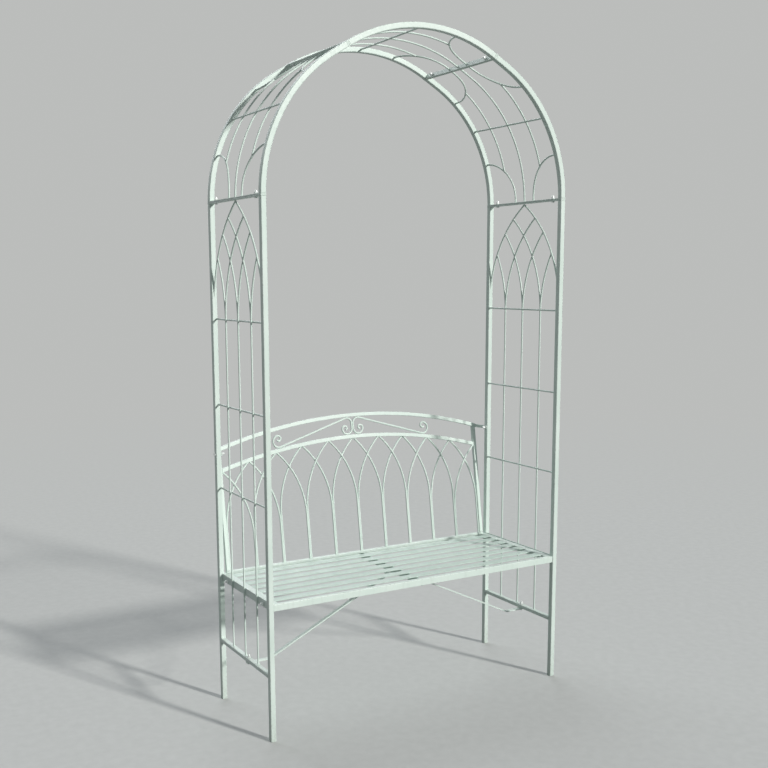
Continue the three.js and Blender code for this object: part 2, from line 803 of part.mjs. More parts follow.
// Two rods stand at each station, and one beside each end post. The two rods of an arch lean
// to the same side, every other arch to the front, so that each passes over its neighbours.
function backrestGrille(railReach) {
  const rodFlat = flatReach(arcadeRodSize, rodSides);
  const stationAt = (index) => bayWidth * (index - bayCount / 2);
  const rods = [];
  for (let index = 0; index <= bayCount; index += 1) {
    for (const direction of [-1, 1]) {
      const neighbour = index + direction;
      if (neighbour >= 0 && neighbour <= bayCount) {
        const atPost = index === 0 || index === bayCount;
        const start = atPost
          ? -direction * (backPostReach - backRailSize / 2 - clearance - rodFlat)
          : stationAt(index) + direction * (rodFlat - weldSink / 2);
        const layer = neighbour % 2 === 0 ? -1 : 1;
        rods.push(arcadeRod(start, stationAt(neighbour), layer));
      }
    }
  }
  const cuts = [middleRail.solid(railReach, clearance)];
  for (const [, side] of sides) cuts.push(backPost(side, clearance));
  return joined(rods).subtract(joined(cuts));
}

// A scroll is an S: a straight rod that is tangent to both curls, which wind inwards. The
// outer curl rests on the middle rail. The taller inner curl fills the space between the rails
// and stands against the other scroll's.
function scroll(side) {
  const rest = clearance + scrollRodSize / 2;
  const outerRise = (outerCurlRadius + rest) / Math.cos(middleRail.slopeAt(outerCurlReach));
  const outer = new THREE.Vector2(
    outerCurlReach, middleRail.heightAt(outerCurlReach, backRailSize / 2) + outerRise,
  );
  const innerReach = (clearance + scrollRodSize) / 2 + innerCurlRadius;
  const ceiling = topRail.heightAt(innerReach, -backRailSize / 2) - rest;
  const floor = middleRail.heightAt(innerReach, backRailSize / 2) + rest;
  const inner = new THREE.Vector2(innerReach, ceiling - innerCurlRadius);
  const between = new THREE.Vector2().subVectors(inner, outer);
  const lean = Math.asin((outerCurlRadius + innerCurlRadius) / between.length());
  const heading = between.angle() - lean;
  const normal = new THREE.Vector2(-Math.sin(heading), Math.cos(heading));
  const outerTouch = outer.clone().addScaledVector(normal, outerCurlRadius);
  const innerTouch = inner.clone().addScaledVector(normal, -innerCurlRadius);
  const winding = (radius) => curlShares.map((share) => (
    { length: radius * share * quarterTurn, turn: quarterTurn }
  ));
  const downTurn = 3 * quarterTurn - heading;
  const innerRuns = [
    { length: innerCurlRadius * downTurn, turn: downTurn },
    { length: ceiling - floor - 2 * innerCurlRadius, turn: 0 },
    ...winding(innerCurlRadius),
  ];
  const outerCurl = new WalkedPath(
    outerTouch.x, outerTouch.y, heading + halfTurn, winding(outerCurlRadius),
  );
  const innerCurl = new WalkedPath(innerTouch.x, innerTouch.y, heading, innerRuns);
  const stopsOf = (path, sense) => path.marks(0, path.length, curlFacetTurn).map((mark) => {
    const { across, up, heading: course } = path.at(mark);
    return {
      point: new THREE.Vector3(side * across, 0, up),
      tangent: new THREE.Vector3(side * Math.cos(course), 0, Math.sin(course)).multiplyScalar(sense),
    };
  });
  const stops = [...stopsOf(outerCurl, -1).reverse(), ...stopsOf(innerCurl, 1)];
  return rodAlong(stops, scrollRodSize, scrollSides);
}

function addBackrest() {
  const leaning = new THREE.Group();
  leaning.position.set(0, backrestRow, backrestFoot);
  leaning.rotation.x = -backrestLean;
  seat.add(leaning);
  const half = backRailSize / 2;
  const railReach = backPostReach - half - clearance;
  const top = topRail.solid(backPostReach + half, 0);
  const topCut = topRail.solid(backPostReach + half + overrun, clearance);
  add('backrest_top_rail', top, paint, leaning);
  add('backrest_middle_rail', middleRail.solid(railReach, 0), paint, leaning);
  add('backrest_grille', backrestGrille(railReach), paint, leaning);
  for (const [sideName, side] of sides) {
    add(`backrest_${sideName}_post`, backPost(side, 0).subtract(topCut), paint, leaning);
    add(`backrest_${sideName}_scroll`, scroll(side), paint, leaning);
    add(`${sideName}_backrest_bracket`, bracket(side));
    const boltStart = new THREE.Vector3(side * (postReach + tubeSize / 2), postRow, bracketHeight);
    const inward = alongX.clone().multiplyScalar(-side);
    addBolt(`${sideName}_bracket_bolt`, boltStart, inward, tubeSize + clearance + bracketThickness);
  }
  const bottom = seatHeight + clearance;
  add('backrest_bottom_rail', bar(
    backPostReach + half, backrestRow, half, bottom, bottom + bottomRailTall,
  ));
}

// A bracket is a flat bar on edge. Its tabs lie on the inner face of the rear post and on the
// outer face of the backrest post.
function bracket(side) {
  const half = bracketThickness / 2;
  const postFace = insideReach - half;
  const backFace = backPostReach + backRailSize / 2 + clearance + half;
  const rise = bracketHeight - backrestFoot;
  const backRow = backrestRow + rise * Math.tan(backrestLean);
  const postFront = postRow - tubeSize / 2;
  const postBack = postRow + tubeSize / 2;
  const bendRow = backRow - bracketTail / 2;
  const slope = Math.atan2(postFace - backFace, bendRow - postBack);
  const bend = half * Math.tan(slope / 2);
  const outline = [
    [postFace - half, postFront], [postFace + half, postFront],
    [postFace + half, postBack + bend], [backFace + half, bendRow + bend],
    [backFace + half, bendRow + bracketTail], [backFace - half, bendRow + bracketTail],
    [backFace - half, bendRow - bend], [postFace - half, postBack - bend],
  ].map(([x, y]) => new THREE.Vector2(side * x, y));
  const strap = plate(outline, bracketHeight - bracketTall / 2, bracketTall);
  const centre = new THREE.Vector3(side * postFace, postRow, bracketHeight);
  return strap.subtract(hole(centre, alongX, half));
}

addSidePanels();
addArch();
addSeat();
addBackrest();

const bounds = new THREE.Box3().setFromObject(seat);
seat.position.y = -(bounds.min.y + bounds.max.y) / 2;

export default seat;
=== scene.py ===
import math
from itertools import pairwise

import bmesh
import bpy
from mathutils import Matrix, Vector


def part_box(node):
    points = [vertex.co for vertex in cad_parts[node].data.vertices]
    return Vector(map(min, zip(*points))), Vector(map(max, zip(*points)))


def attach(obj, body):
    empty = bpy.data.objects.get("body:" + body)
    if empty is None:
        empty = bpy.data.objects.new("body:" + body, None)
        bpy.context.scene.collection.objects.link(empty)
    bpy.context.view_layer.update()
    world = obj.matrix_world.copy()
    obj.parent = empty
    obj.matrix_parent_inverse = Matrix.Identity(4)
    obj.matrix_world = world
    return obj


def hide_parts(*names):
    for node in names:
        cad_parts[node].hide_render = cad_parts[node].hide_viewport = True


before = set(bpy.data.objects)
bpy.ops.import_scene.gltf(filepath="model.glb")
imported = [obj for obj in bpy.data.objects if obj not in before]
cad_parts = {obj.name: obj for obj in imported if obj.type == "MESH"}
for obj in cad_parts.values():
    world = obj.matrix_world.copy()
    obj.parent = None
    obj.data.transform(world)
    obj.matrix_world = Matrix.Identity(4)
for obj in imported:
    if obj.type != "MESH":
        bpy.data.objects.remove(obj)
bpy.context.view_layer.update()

MM = 0.001
FULL, HALF, QUARTER = 2 * math.pi, math.pi, math.pi / 2  # turns, in radians

# Whole seat
SPAN = 1130  # between the left and right post axes
DEPTH = 385  # between the front and rear post axes
JOINT_HEIGHT = 1700  # where the arch is bolted on the side panels
SEAT_HEIGHT = 450  # top of the slats

# Fits
CLEARANCE = 0.3  # between two pieces that rest on each other
ROD_LAP = 0.4  # how far welded rods sink into each other
OVERRUN = 3  # how far a hidden rod end runs into what covers it

# Tube, bar and rod stock
TUBE_SIZE = 18
TUBE_WALL = 1.5
TUBE_CORNER = 2.4  # radius of the rounded corners
CORNER_STEPS = 4
EDGE_BREAK = 0.5  # chamfer on cut ends
EDGE_MARGIN_SHARE = 0.5  # how far the marks of an edge fade out, over its radius
EDGE_MARK = "edge"  # name of the marks that the paint reads
BAR_CORNER = 0.7  # radius of the long edges of flat bars
FLANGE_THICKNESS = 4
ROD_SIZE = 6
ROD_SIDES = 14
ROD_FLAT_SIDES = 6  # facets of the plain rods in the solid model, which set the spacing
ARC_PITCH = 9  # longest straight facet on a bent rod
ARCH_PITCH = 14  # the same on the arch tubes

SHARP_TURN = math.radians(38)  # faces that meet at more than this keep a sharp edge

# Bolts with domed cap nuts
BOLT_DIAMETER = 6
HEX_ACROSS = 10
HEX_SIDES = 6
HEX_BEVEL = math.radians(28)
HEX_BEVEL_SHARE = 0.97  # radius of the bevel circle over half the width across the flats
HEAD_TALL = 4
NUT_TALL = 6
DOME_DIAMETER = 9
DOME_TALL = 6.5
TURNED_SIDES = 36
DOME_STEPS = 9

# Side panels
UPRIGHT_COUNT = 3
CROSS_ROD_HEIGHT = 753
CROSS_ROD_PITCH = 285
CROSS_ROD_COUNT = 3
TRACERY_RADIUS = 430
TRACERY_INSET = 2.5
INNER_ARC_DROP = 22
LOWER_RAIL_TOP = 221
LOWER_RAIL_TALL = 13
SEAT_BAR_TALL = 25
SEAT_BAR_THICKNESS = 3
SEAT_BAR_LIFT = 2
FLANGE_BOLT_INSET = 42.5

# Arch
SHOULDER_RADIUS = 478
SHOULDER_TURN = math.radians(60)
SHOULDER_STRAIGHT = 60
LATTICE_LEAD = 11

# Seat
SLAT_COUNT = 7
SLAT_WIDTH = 30
SLAT_THICKNESS = 3
ANGLE_THICKNESS = 3
ANGLE_WIDTH = 25
ANGLE_HEEL = 2.6  # radius of the outer bend of the folded rails
RAIL_DEPTH = 14
RAIL_TALL = 22
RAIL_SETBACK = 1.5
BEARER_THICKNESS = 4
BEARER_TALL = 22
BEARER_FOOT_WIDTH = 64
BEARER_FOOT_DEPTH = 30
SEAT_BOLT_INSET = 54.5
SEAT_BOLT_DROP = 13

# Braces under the seat
BRACE_WIDTH = 15
BRACE_THICKNESS = 4.5
BRACE_OFFSET = -25
BRACE_BEND_INSET = 73
BRACE_BEND_RADIUS = 9
BRACE_HEAD_REACH = 34
BRACE_HEAD_GAP = 7
BRACE_BOLT_REACH = 20

# Backrest
BACKREST_LEAN = math.radians(8)
BOTTOM_RAIL_TALL = 5.5
BACK_RAIL_SIZE = 13
BACK_RAIL_CORNER = 1.3
BACKREST_GAP = 11.5
BAY_COUNT = 10
ARCADE_ROD_SIZE = 6.5
ARCADE_RADIUS = 315
TOP_RAIL_END = 422
TOP_RAIL_RISE = 80
MIDDLE_RAIL_END = 347
MIDDLE_RAIL_RISE = 76
SCROLL_ROD_SIZE = 7
OUTER_CURL_REACH = 305
OUTER_CURL_RADIUS = 21
INNER_CURL_RADIUS = 19.5
CURL_SHARES = (1, 1, 0.55, 0.4, 0.3)  # radius of each quarter over the first
SCROLL_PITCH = 1.6  # longest straight facet on the scrolls
BRACKET_TALL = 12
BRACKET_THICKNESS = 3
BRACKET_RISE = 418
BRACKET_TAIL = 12
BRACKET_BEND_RADIUS = 6

# Welds
WELD_SIZE = 2.2  # how far a weld bead stands out
WELD_LUMPS = 5  # waves round a bead
WELD_LUMP_SHARE = 0.16
BEAD_RINGS = 6
SEAM_RINGS = 20
SEAM_END_SHARE = 0.06  # where along half a wave the end of a seam is
BEAD_SIDES = 10
WELD_SPREAD_SHARE = 0.72  # radius of a bead at a rod's end over the rod's diameter
WELD_CROSS_SHARE = 0.55  # the same at a crossing of two rods

# Noises on the surfaces: waves a metre, layers of detail, and the roughness of these
CLOUDS = (7, 3, 0.5)
MOTTLE = (120, 4, 0.65)
SPECKS = (420, 2, 0.5)
RUNS = (90, 3, 0.5)
ZINC_CLOUDS = (260, 4, 0.6)
ZINC_MARKS = (1500, 2, 0.5)
FLOOR_GRAIN = (30, 4, 0.5)
EVEN = (1, 1, 1)
LONGWAYS = (0.12, 1, 1)  # stretches the mottling along the slats
DOWNWARDS = (1, 1, 0.06)  # stretches the runs from top to bottom

# Layers of the paint: the values of a noise between which each sets in, and how much of what
# is under it the layer hides at most
CLOUD_RANGE = (0.35, 0.65)
MOTTLE_LAYER = (0.45, 0.75, 0.35)
SOIL_LAYER = (0.3, 0.7, 0.3)
SOIL_HEIGHTS = (0.16, 0)  # from clean to soiled
RUN_LAYER = (0.5, 0.75, 0.16)
DUST_LAYER = (0.35, 0.8, 0.3)
DUST_FACING = (0.75, 1)  # how far a face looks up, from clean to dusty
CHIP_LAYER = (0.74, 0.79, 0.4)
RUBBED_LAYER = (0.5, 0.72, 0.5)
RUBBED_EDGE = (0.3, 1)  # the marks of an edge, from whole to rubbed

# Gloss and relief
GLOSS_RANGE = (0.3, 0.7)
GLOSS_SMOOTHER = 0.07  # how far the paint's roughness goes below its middle value
GLOSS_ROUGHER = 0.09
WAVES = (0.12, 0.0008)  # strength and height
DIMPLES = (0.1, 0.0003)
PAINT_IOR = 1.5
COAT_WEIGHT = 0.08
COAT_ROUGHNESS = 0.3
ZINC_RANGE = (0.35, 0.7)
ZINC_ROUGHNESS = (0.24, 0.42)
ZINC_RELIEF = (0.12, 0.0001)
ZINC_METALLIC = 0.45


def colour(red, green, blue):
    return (red, green, blue, 1.0)


# Colours
FRAME_TINT, FRAME_SHADE = colour(0.70, 0.80, 0.75), colour(0.635, 0.75, 0.695)
# The slats' two colours are the frame's pale mint made darker: painted shade for the dim, low
# light on the seat's top
SLAT_TINT_WITH_PAINTED_SHADE, SLAT_DARK_TONE_WITH_PAINTED_SHADE = colour(0.565, 0.695, 0.63), colour(0.505, 0.64, 0.575)
FRAME_ROUGHNESS = 0.44
SLAT_ROUGHNESS = 0.46
SOIL = colour(0.16, 0.14, 0.09)
DUST = colour(0.62, 0.63, 0.56)
CHIP = colour(0.36, 0.40, 0.37)
RUN = colour(0.47, 0.52, 0.48)
BRIGHT_ZINC, DULL_ZINC = colour(0.86, 0.89, 0.88), colour(0.72, 0.75, 0.74)

# Floor, light and camera, with the camera's angles in radians
BACKGROUND = colour(0.50, 0.51, 0.50)
FLOOR_TINT, FLOOR_SHADE = colour(0.595, 0.605, 0.595), colour(0.63, 0.64, 0.63)
FLOOR_BOUNCE = colour(0.22, 0.23, 0.22)  # what the floor throws back on the object
FLOOR_REACH = 30
FLOOR_SIDES = 96
FLOOR_RANGE = (0.3, 0.7)
FLOOR_FADE = (2.5, 7.5)  # between these distances the floor passes into the background
WORLD_LIGHT = 0.24
WORLD_TINT = colour(0.93, 0.97, 1.0)
LAMPS = (  # name, place that it shines from, spread in degrees, strength and tint
    ("key", (2.4, -5.2, 2.2), 4.5, 3.0, (1.0, 0.985, 0.95)),
    ("rear_fill", (0.6, 5.4, 3.2), 60, 1.6, (0.93, 0.97, 1.0)),
)
CAMERA_PLACE = (-1.9216, -3.0395, 1.4808)
CAMERA_YAW = 0.4562
CAMERA_PITCH = -0.1528
CAMERA_ROLL = -0.0181
CAMERA_LENS = 48.83  # focal length in millimetres
CAMERA_SHIFT = (0.1435, 0.06)

# Worked out from the sizes above
POST_REACH = SPAN / 2
POST_ROW = DEPTH / 2
UPRIGHT_PITCH = DEPTH / (UPRIGHT_COUNT + 1)
FLANGE_BOLT_ROW = POST_ROW - FLANGE_BOLT_INSET
SEAT_BOLT_ROW = POST_ROW - SEAT_BOLT_INSET
INSIDE_ROW = POST_ROW - TUBE_SIZE / 2 - CLEARANCE
INSIDE_REACH = POST_REACH - TUBE_SIZE / 2 - CLEARANCE
LATTICE_FOOT = UPRIGHT_PITCH / 2
LATTICE_RADIUS = INSIDE_ROW - LATTICE_FOOT
FLANGE_LENGTH = DEPTH + TUBE_SIZE
FLANGE_TOP = JOINT_HEIGHT - CLEARANCE / 2
FLANGE_UNDERSIDE = FLANGE_TOP - FLANGE_THICKNESS
FLAT_SHARE = math.cos(HALF / ROD_FLAT_SIDES)
ROD_REACH = ROD_SIZE / 2 * FLAT_SHARE
SEAT_BAR_OUTER = POST_REACH - ROD_REACH + ROD_LAP
SEAT_BAR_INNER = SEAT_BAR_OUTER - SEAT_BAR_THICKNESS
END_RAIL_OUTER = SEAT_BAR_INNER - CLEARANCE
SLAT_END = END_RAIL_OUTER - ANGLE_WIDTH - CLEARANCE
RAIL_FACE = POST_ROW + TUBE_SIZE / 2 - RAIL_SETBACK
SLAT_UNDERSIDE = SEAT_HEIGHT - SLAT_THICKNESS
BEARER_UNDERSIDE = SLAT_UNDERSIDE - BEARER_TALL
RAIL_BACK = RAIL_FACE - RAIL_DEPTH
BACKREST_ROW = RAIL_FACE - RAIL_DEPTH / 2
BACKREST_FOOT = SEAT_HEIGHT + CLEARANCE + BOTTOM_RAIL_TALL / 2
BACK_POST_REACH = POST_REACH - (TUBE_SIZE + BACK_RAIL_SIZE) / 2 - BACKREST_GAP
BAY_WIDTH = (2 * BACK_POST_REACH - BACK_RAIL_SIZE) / BAY_COUNT
BRACE_BEND_REACH = POST_REACH - BRACE_BEND_INSET
BRACKET_HEIGHT = SEAT_HEIGHT + BRACKET_RISE
TRACERY_REACH = POST_ROW - TRACERY_INSET
TRACERY_RISE = math.sqrt(TRACERY_RADIUS ** 2 - (TRACERY_RADIUS - TRACERY_REACH) ** 2)
OUTER_SPRING = FLANGE_UNDERSIDE - CLEARANCE - ROD_SIZE / 2 - TRACERY_RISE
INNER_SPRING = OUTER_SPRING - INNER_ARC_DROP
CROWN_TURN = 2 * (QUARTER - SHOULDER_TURN)
CROWN_REACH = (POST_REACH - SHOULDER_RADIUS * (1 - math.cos(SHOULDER_TURN))
               - SHOULDER_STRAIGHT * math.sin(SHOULDER_TURN))
CROWN_LENGTH = CROWN_REACH / math.sin(CROWN_TURN / 2) * CROWN_TURN
SHOULDER = (SHOULDER_RADIUS * SHOULDER_TURN, SHOULDER_TURN)
CROWN_START = SHOULDER[0] + SHOULDER_STRAIGHT
BEVEL_RADIUS = HEX_ACROSS / 2 * HEX_BEVEL_SHARE
END_WELD = ROD_SIZE * WELD_SPREAD_SHARE
CROSS_WELD = ROD_SIZE * WELD_CROSS_SHARE
SLAT_WELD_REACH = SLAT_WIDTH / 3

SIDES = (("left", -1), ("right", 1))
ROWS = (("front", -1), ("rear", 1))
ALONG_X = Vector((1, 0, 0))
ALONG_Y = Vector((0, 1, 0))
ALONG_Z = Vector((0, 0, 1))
LEANING = (Matrix.Translation((0, BACKREST_ROW, BACKREST_FOOT))
           @ Matrix.Rotation(-BACKREST_LEAN, 4, "X"))


def middle_row():
    """The row midway between the front and rear posts, in metres."""
    rows = [value.y for row in ("front", "rear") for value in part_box(f"left_{row}_post")]
    return (min(rows) + max(rows)) / 2


MESH_PLACE = Matrix.Translation((0, middle_row(), 0)) @ Matrix.Scale(MM, 4)


def stages(whole, count):
    """From nothing to the whole in even stages."""
    return [whole * stage / count for stage in range(count + 1)]


def bend_stages(radius, turn):
    """The stages of a rod's turn, none of them longer than the pitch allows."""
    return stages(turn, math.ceil(radius * turn / ARC_PITCH))


# Outlines, drawn anticlockwise round the middle of a bar


def corner_arc(before, corner, after, radius):
    """The points of the arc that rounds a corner between its two neighbours."""
    back, ahead = (before - corner).normalized(), (after - corner).normalized()
    half_open = back.angle(ahead) / 2
    centre = corner + (back + ahead).normalized() * radius / math.sin(half_open)
    start = corner + back * radius / math.tan(half_open) - centre
    end = corner + ahead * radius / math.tan(half_open) - centre
    turn = start.angle_signed(end)
    return [centre + Matrix.Rotation(stage, 2) @ start for stage in stages(-turn, CORNER_STEPS)]


def rounded(corners, radii):
    """The outline with each corner rounded to its radius. Its points are marked by a third
    coordinate, which is one on the roundings and zero on the flats beside them."""
    outline = []
    for index, corner in enumerate(corners):
        before, after = corners[index - 1], corners[(index + 1) % len(corners)]
        arc = corner_arc(before, corner, after, radii[index])
        margin = radii[index] * EDGE_MARGIN_SHARE
        lead_in = arc[0] + (before - corner).normalized() * margin
        lead_out = arc[-1] + (after - corner).normalized() * margin
        outline.append(Vector((*lead_in, 0)))
        outline += [Vector((*point, 1)) for point in arc]
        outline.append(Vector((*lead_out, 0)))
    return outline


def box_outline(width, tall, radius):
    right, top = width / 2, tall / 2
    corners = [Vector(p) for p in ((-right, -top), (right, -top), (right, top), (-right, top))]
    return rounded(corners, [radius] * len(corners))


def round_outline(diameter, sides=ROD_SIDES):
    return [Vector((math.cos(turn), math.sin(turn), 0)) * diameter / 2
            for turn in stages(FULL, sides)[:-1]]


def grown(outline, amount):
    """The outline with every side moved out by an amount."""
    moved = []
    for index, point in enumerate(outline):
        first = (point.xy - outline[index - 1].xy).normalized()
        second = (outline[(index + 1) % len(outline)].xy - point.xy).normalized()
        outward = [Vector((side.y, -side.x)) for side in (first, second)]
        mitre = (outward[0] + outward[1]).normalized()
        shifted = point.xy + mitre * amount / mitre.dot(outward[0])
        moved.append(Vector((*shifted, point.z)))
    return moved


# Lofts: an outline carried through a row of places, each a function of its two coordinates


def skin(mesh, near, far):
    for index in range(len(near)):
        mesh.faces.new((near[index - 1], near[index], far[index], far[index - 1]))


def loft(mesh, outlines, places, chamfer=EDGE_BREAK):
    """A bar with one outline, or a tube with an outer and an inner one. Its first and last
    places are cut ends, and their edges are broken by shrinking the outline there."""
    layers = mesh.verts.layers.float
    edge = layers.get(EDGE_MARK) or layers.new(EDGE_MARK)
    rings = []
    for order, place in enumerate(places):
        shrink = chamfer if order in (0, len(places) - 1) else 0
        ring = []
        for level, outline in enumerate(outlines):
            points = grown(outline, shrink * (1 if level else -1)) if shrink else outline
            ring.append([mesh.verts.new(place(point.x, point.y)) for point in points])
            for vert, point in zip(ring[-1], points):
                vert[edge] = 1 if shrink else point.z
        rings.append(ring)
    for near_ring, far_ring in pairwise(rings):
        for near, far in zip(near_ring, far_ring):
            skin(mesh, near, far)
    for ring in (rings[0], rings[-1]):
        if len(ring) > 1:
            skin(mesh, *ring)
        else:
            mesh.faces.new(ring[0])


def spot(origin, across, up):
    """A place with its own origin and its own two axes."""
    return lambda u, v: origin + across * u + up * v


def spaced(start, end, pitch):
    """Marks from start to end, with the width of a chamfer inside both ends."""
    count = max(1, math.ceil((end - start) / pitch))
    inner = [start + stage for stage in stages(end - start, count)[1:-1]]
    return [start, start + EDGE_BREAK, *inner, end - EDGE_BREAK, end]


def straight_bar(mesh, outlines, start, end, across, up):
    along = (end - start).normalized()
    marks = (0, EDGE_BREAK, (end - start).length - EDGE_BREAK, (end - start).length)
    loft(mesh, outlines, [spot(start + along * mark, across, up) for mark in marks])


def block_bar(mesh, corner, opposite, radius=BAR_CORNER):
    """A flat bar between two opposite corners, rounded along its longest side."""
    low, high = Vector(map(min, corner, opposite)), Vector(map(max, corner, opposite))
    size = high - low
    long = max(range(3), key=lambda axis: size[axis])
    first, second = [axis for axis in range(3) if axis != long]
    axes = Matrix.Identity(3)
    start = (low + high) / 2
    start[long] = low[long]
    end = start.copy()
    end[long] = high[long]
    outline = box_outline(size[first], size[second], radius)
    straight_bar(mesh, [outline], start, end, axes[first], axes[second])


def directions(points):
    """The direction of a path at each of its points."""
    steps = [(after - before).normalized() for before, after in pairwise(points)]
    inner = [(first + second).normalized() for first, second in pairwise(steps)]
    return [steps[0], *inner, steps[-1]]


def rod(mesh, points, size=ROD_SIZE):
    """A round rod through points, with a frame that is carried along without twist."""
    courses = directions(points)
    across = courses[0].orthogonal().normalized()
    places = []
    for point, course in zip(points, courses):
        across = (across - course * across.dot(course)).normalized()
        places.append(spot(point, across, course.cross(across)))
    near, far = points[0] + courses[0] * EDGE_BREAK, points[-1] - courses[-1] * EDGE_BREAK
    first = courses[0].orthogonal().normalized()
    places.insert(1, spot(near, first, courses[0].cross(first)))
    places.insert(-1, spot(far, across, courses[-1].cross(across)))
    loft(mesh, [round_outline(size)], places)


def bent_strip(mesh, corners, radius, outline, depth_axis, to_space):
    """A flat bar along a bent line of plane points. The outline's first coordinate runs
    along the depth axis and its second across the line."""
    line = rounded_line(corners, radius)
    start, end = (line[1] - line[0]).normalized(), (line[-1] - line[-2]).normalized()
    line.insert(1, line[0] + start * EDGE_BREAK)
    line.insert(-1, line[-1] - end * EDGE_BREAK)
    places = []
    for point, course in zip(line, directions(line)):
        normal = to_space(Vector((-course.y, course.x))) - to_space(Vector((0, 0)))
        places.append(spot(to_space(point), depth_axis, normal))
    loft(mesh, [outline], places)


def rounded_line(corners, radius):
    """An open line of plane points with its bends rounded."""
    line = [corners[0]]
    for before, corner, after in zip(corners, corners[1:], corners[2:]):
        line += corner_arc(before, corner, after, radius)
    return [*line, corners[-1]]


def turned_form(mesh, origin, axis, profile, sides=TURNED_SIDES):
    """A form round an axis. The profile gives radius and height pairs for each angle, and
    its ends lie on the axis."""
    across = axis.orthogonal().normalized()
    up = axis.cross(across)
    columns = []
    for angle in stages(FULL, sides)[:-1]:
        ray = across * math.cos(angle) + up * math.sin(angle)
        points = profile(angle)
        columns.append([origin + ray * radius + axis * height for radius, height in points])
    first, last = mesh.verts.new(columns[0][0]), mesh.verts.new(columns[0][-1])
    rings = [[mesh.verts.new(column[level]) for column in columns]
             for level in range(1, len(columns[0]) - 1)]
    for near, far in pairwise(rings):
        skin(mesh, near, far)
    for index in range(sides):
        mesh.faces.new((rings[0][index - 1], rings[0][index], first))
        mesh.faces.new((rings[-1][index - 1], rings[-1][index], last))


# Welds


def bead(mesh, centre, axis, radius, tall=WELD_SIZE):
    """A lumpy rounded weld that stands on a point and reaches as far to either side of it."""
    def profile(angle):
        lump = 1 + WELD_LUMP_SHARE * math.sin(WELD_LUMPS * angle + centre.z)
        return [(radius * lump * math.sin(turn), -tall * math.cos(turn))
                for turn in stages(HALF, BEAD_RINGS)]
    turned_form(mesh, centre, axis, profile, BEAD_SIDES)


def seam(mesh, centre, along):
    """The weld between a flange and a tube's side, thickest in the middle and lumpy."""
    length = TUBE_SIZE - 2 * TUBE_CORNER
    across = along.orthogonal().normalized()
    places = []
    for share in stages(1, SEAM_RINGS):
        swell = math.sin(HALF * (SEAM_END_SHARE + (1 - 2 * SEAM_END_SHARE) * share)) ** 0.5
        swell *= 1 + WELD_LUMP_SHARE * math.sin(FULL * WELD_LUMPS * share)
        places.append(spot(centre + along * length * (share - 1 / 2), across * swell,
                           along.cross(across) * swell))
    loft(mesh, [round_outline(2 * WELD_SIZE, BEAD_SIDES)], places, 0)


# Paths


def advanced(at, bend, travelled):
    """Where a walk from a spot gets to. A bend's chord points along its mean heading."""
    across, up, heading = at
    half = bend * travelled / 2
    chord = travelled * (math.sin(half) / half if half else 1)
    return (across + chord * math.cos(heading + half),
            up + chord * math.sin(heading + half), heading + 2 * half)


class WalkedPath:
    """A path in an upright plane, walked over straights and bends. Each run of it has a
    length and the angle that it turns left through."""

    def __init__(self, across, up, heading, runs):
        self.runs = []
        at, start = (across, up, heading), 0
        for length, turn in runs:
            self.runs.append((start, at, turn / length))
            at = advanced(at, turn / length, length)
            start += length
        self.length = start

    def at(self, distance):
        passed = [run for run in self.runs if run[0] <= distance] or self.runs[:1]
        start, at, bend = passed[-1]
        return advanced(at, bend, distance - start)


ARCH_PATH = WalkedPath(POST_REACH, JOINT_HEIGHT, QUARTER, (
    SHOULDER, (SHOULDER_STRAIGHT, 0), (CROWN_LENGTH, CROWN_TURN), (SHOULDER_STRAIGHT, 0),
    SHOULDER,
))
ARCH_JOINTS = (0, CROWN_START, CROWN_START + CROWN_LENGTH, ARCH_PATH.length)


def arch_axes(distance):
    """The point of the arch at a distance, its course and its outward normal."""
    across, up, heading = ARCH_PATH.at(distance)
    course = Vector((math.cos(heading), 0, math.sin(heading)))
    return Vector((across, 0, up)), course, course.cross(ALONG_Y)


def arch_point(distance, row):
    return arch_axes(distance)[0] + ALONG_Y * row


# Pieces


def placed(name, data):
    thing = bpy.data.objects.new(name, data)
    bpy.context.scene.collection.objects.link(thing)
    return thing


def solid(name, mesh, material):
    """An object in the scene that shows a mesh."""
    data = bpy.data.meshes.new(name)
    mesh.to_mesh(data)
    mesh.free()
    data.materials.append(material)
    return placed(name, data)


def add(node, build, *sizes, material=None, slot="frame_paint"):
    """Builds a mesh and makes it an object that stands for a node."""
    mesh = bmesh.new()
    build(mesh, *sizes)
    bmesh.ops.recalc_face_normals(mesh, faces=mesh.faces)
    mesh.transform(MESH_PLACE)
    piece = solid(f"{node}_form", mesh, material or frame_paint)
    piece.data.shade_smooth()
    piece.data.set_sharp_from_angle(angle=SHARP_TURN)
    weighted = piece.modifiers.new("even_faces", "WEIGHTED_NORMAL")
    weighted.keep_sharp = True
    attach(piece, "root")
    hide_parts(node)


# Arch and flanges


def flange(mesh, centre, across, normal, side):
    """A flat bar from front to back, with the welds of two tubes on one of its faces."""
    outline = box_outline(TUBE_SIZE, FLANGE_THICKNESS, BAR_CORNER)
    reach = ALONG_Y * FLANGE_LENGTH / 2
    straight_bar(mesh, [outline], centre - reach, centre + reach, across, normal)
    for _, row in ROWS:
        inner_row = row * (POST_ROW - TUBE_SIZE / 2)
        foot = centre + ALONG_Y * inner_row + normal * side * FLANGE_THICKNESS / 2
        seam(mesh, foot, across)


def tube(tall=TUBE_SIZE):
    """The outer and the inner outline of a tube."""
    return [box_outline(TUBE_SIZE - 2 * inset, tall - 2 * inset, TUBE_CORNER - inset)
            for inset in (0, TUBE_WALL)]


def arch_tube(mesh, begin, end, row):
    places = []
    for mark in spaced(begin, end, ARCH_PITCH):
        point, _, normal = arch_axes(mark)
        places.append(spot(point + ALONG_Y * row * POST_ROW, ALONG_Y, normal))
    loft(mesh, tube(), places)


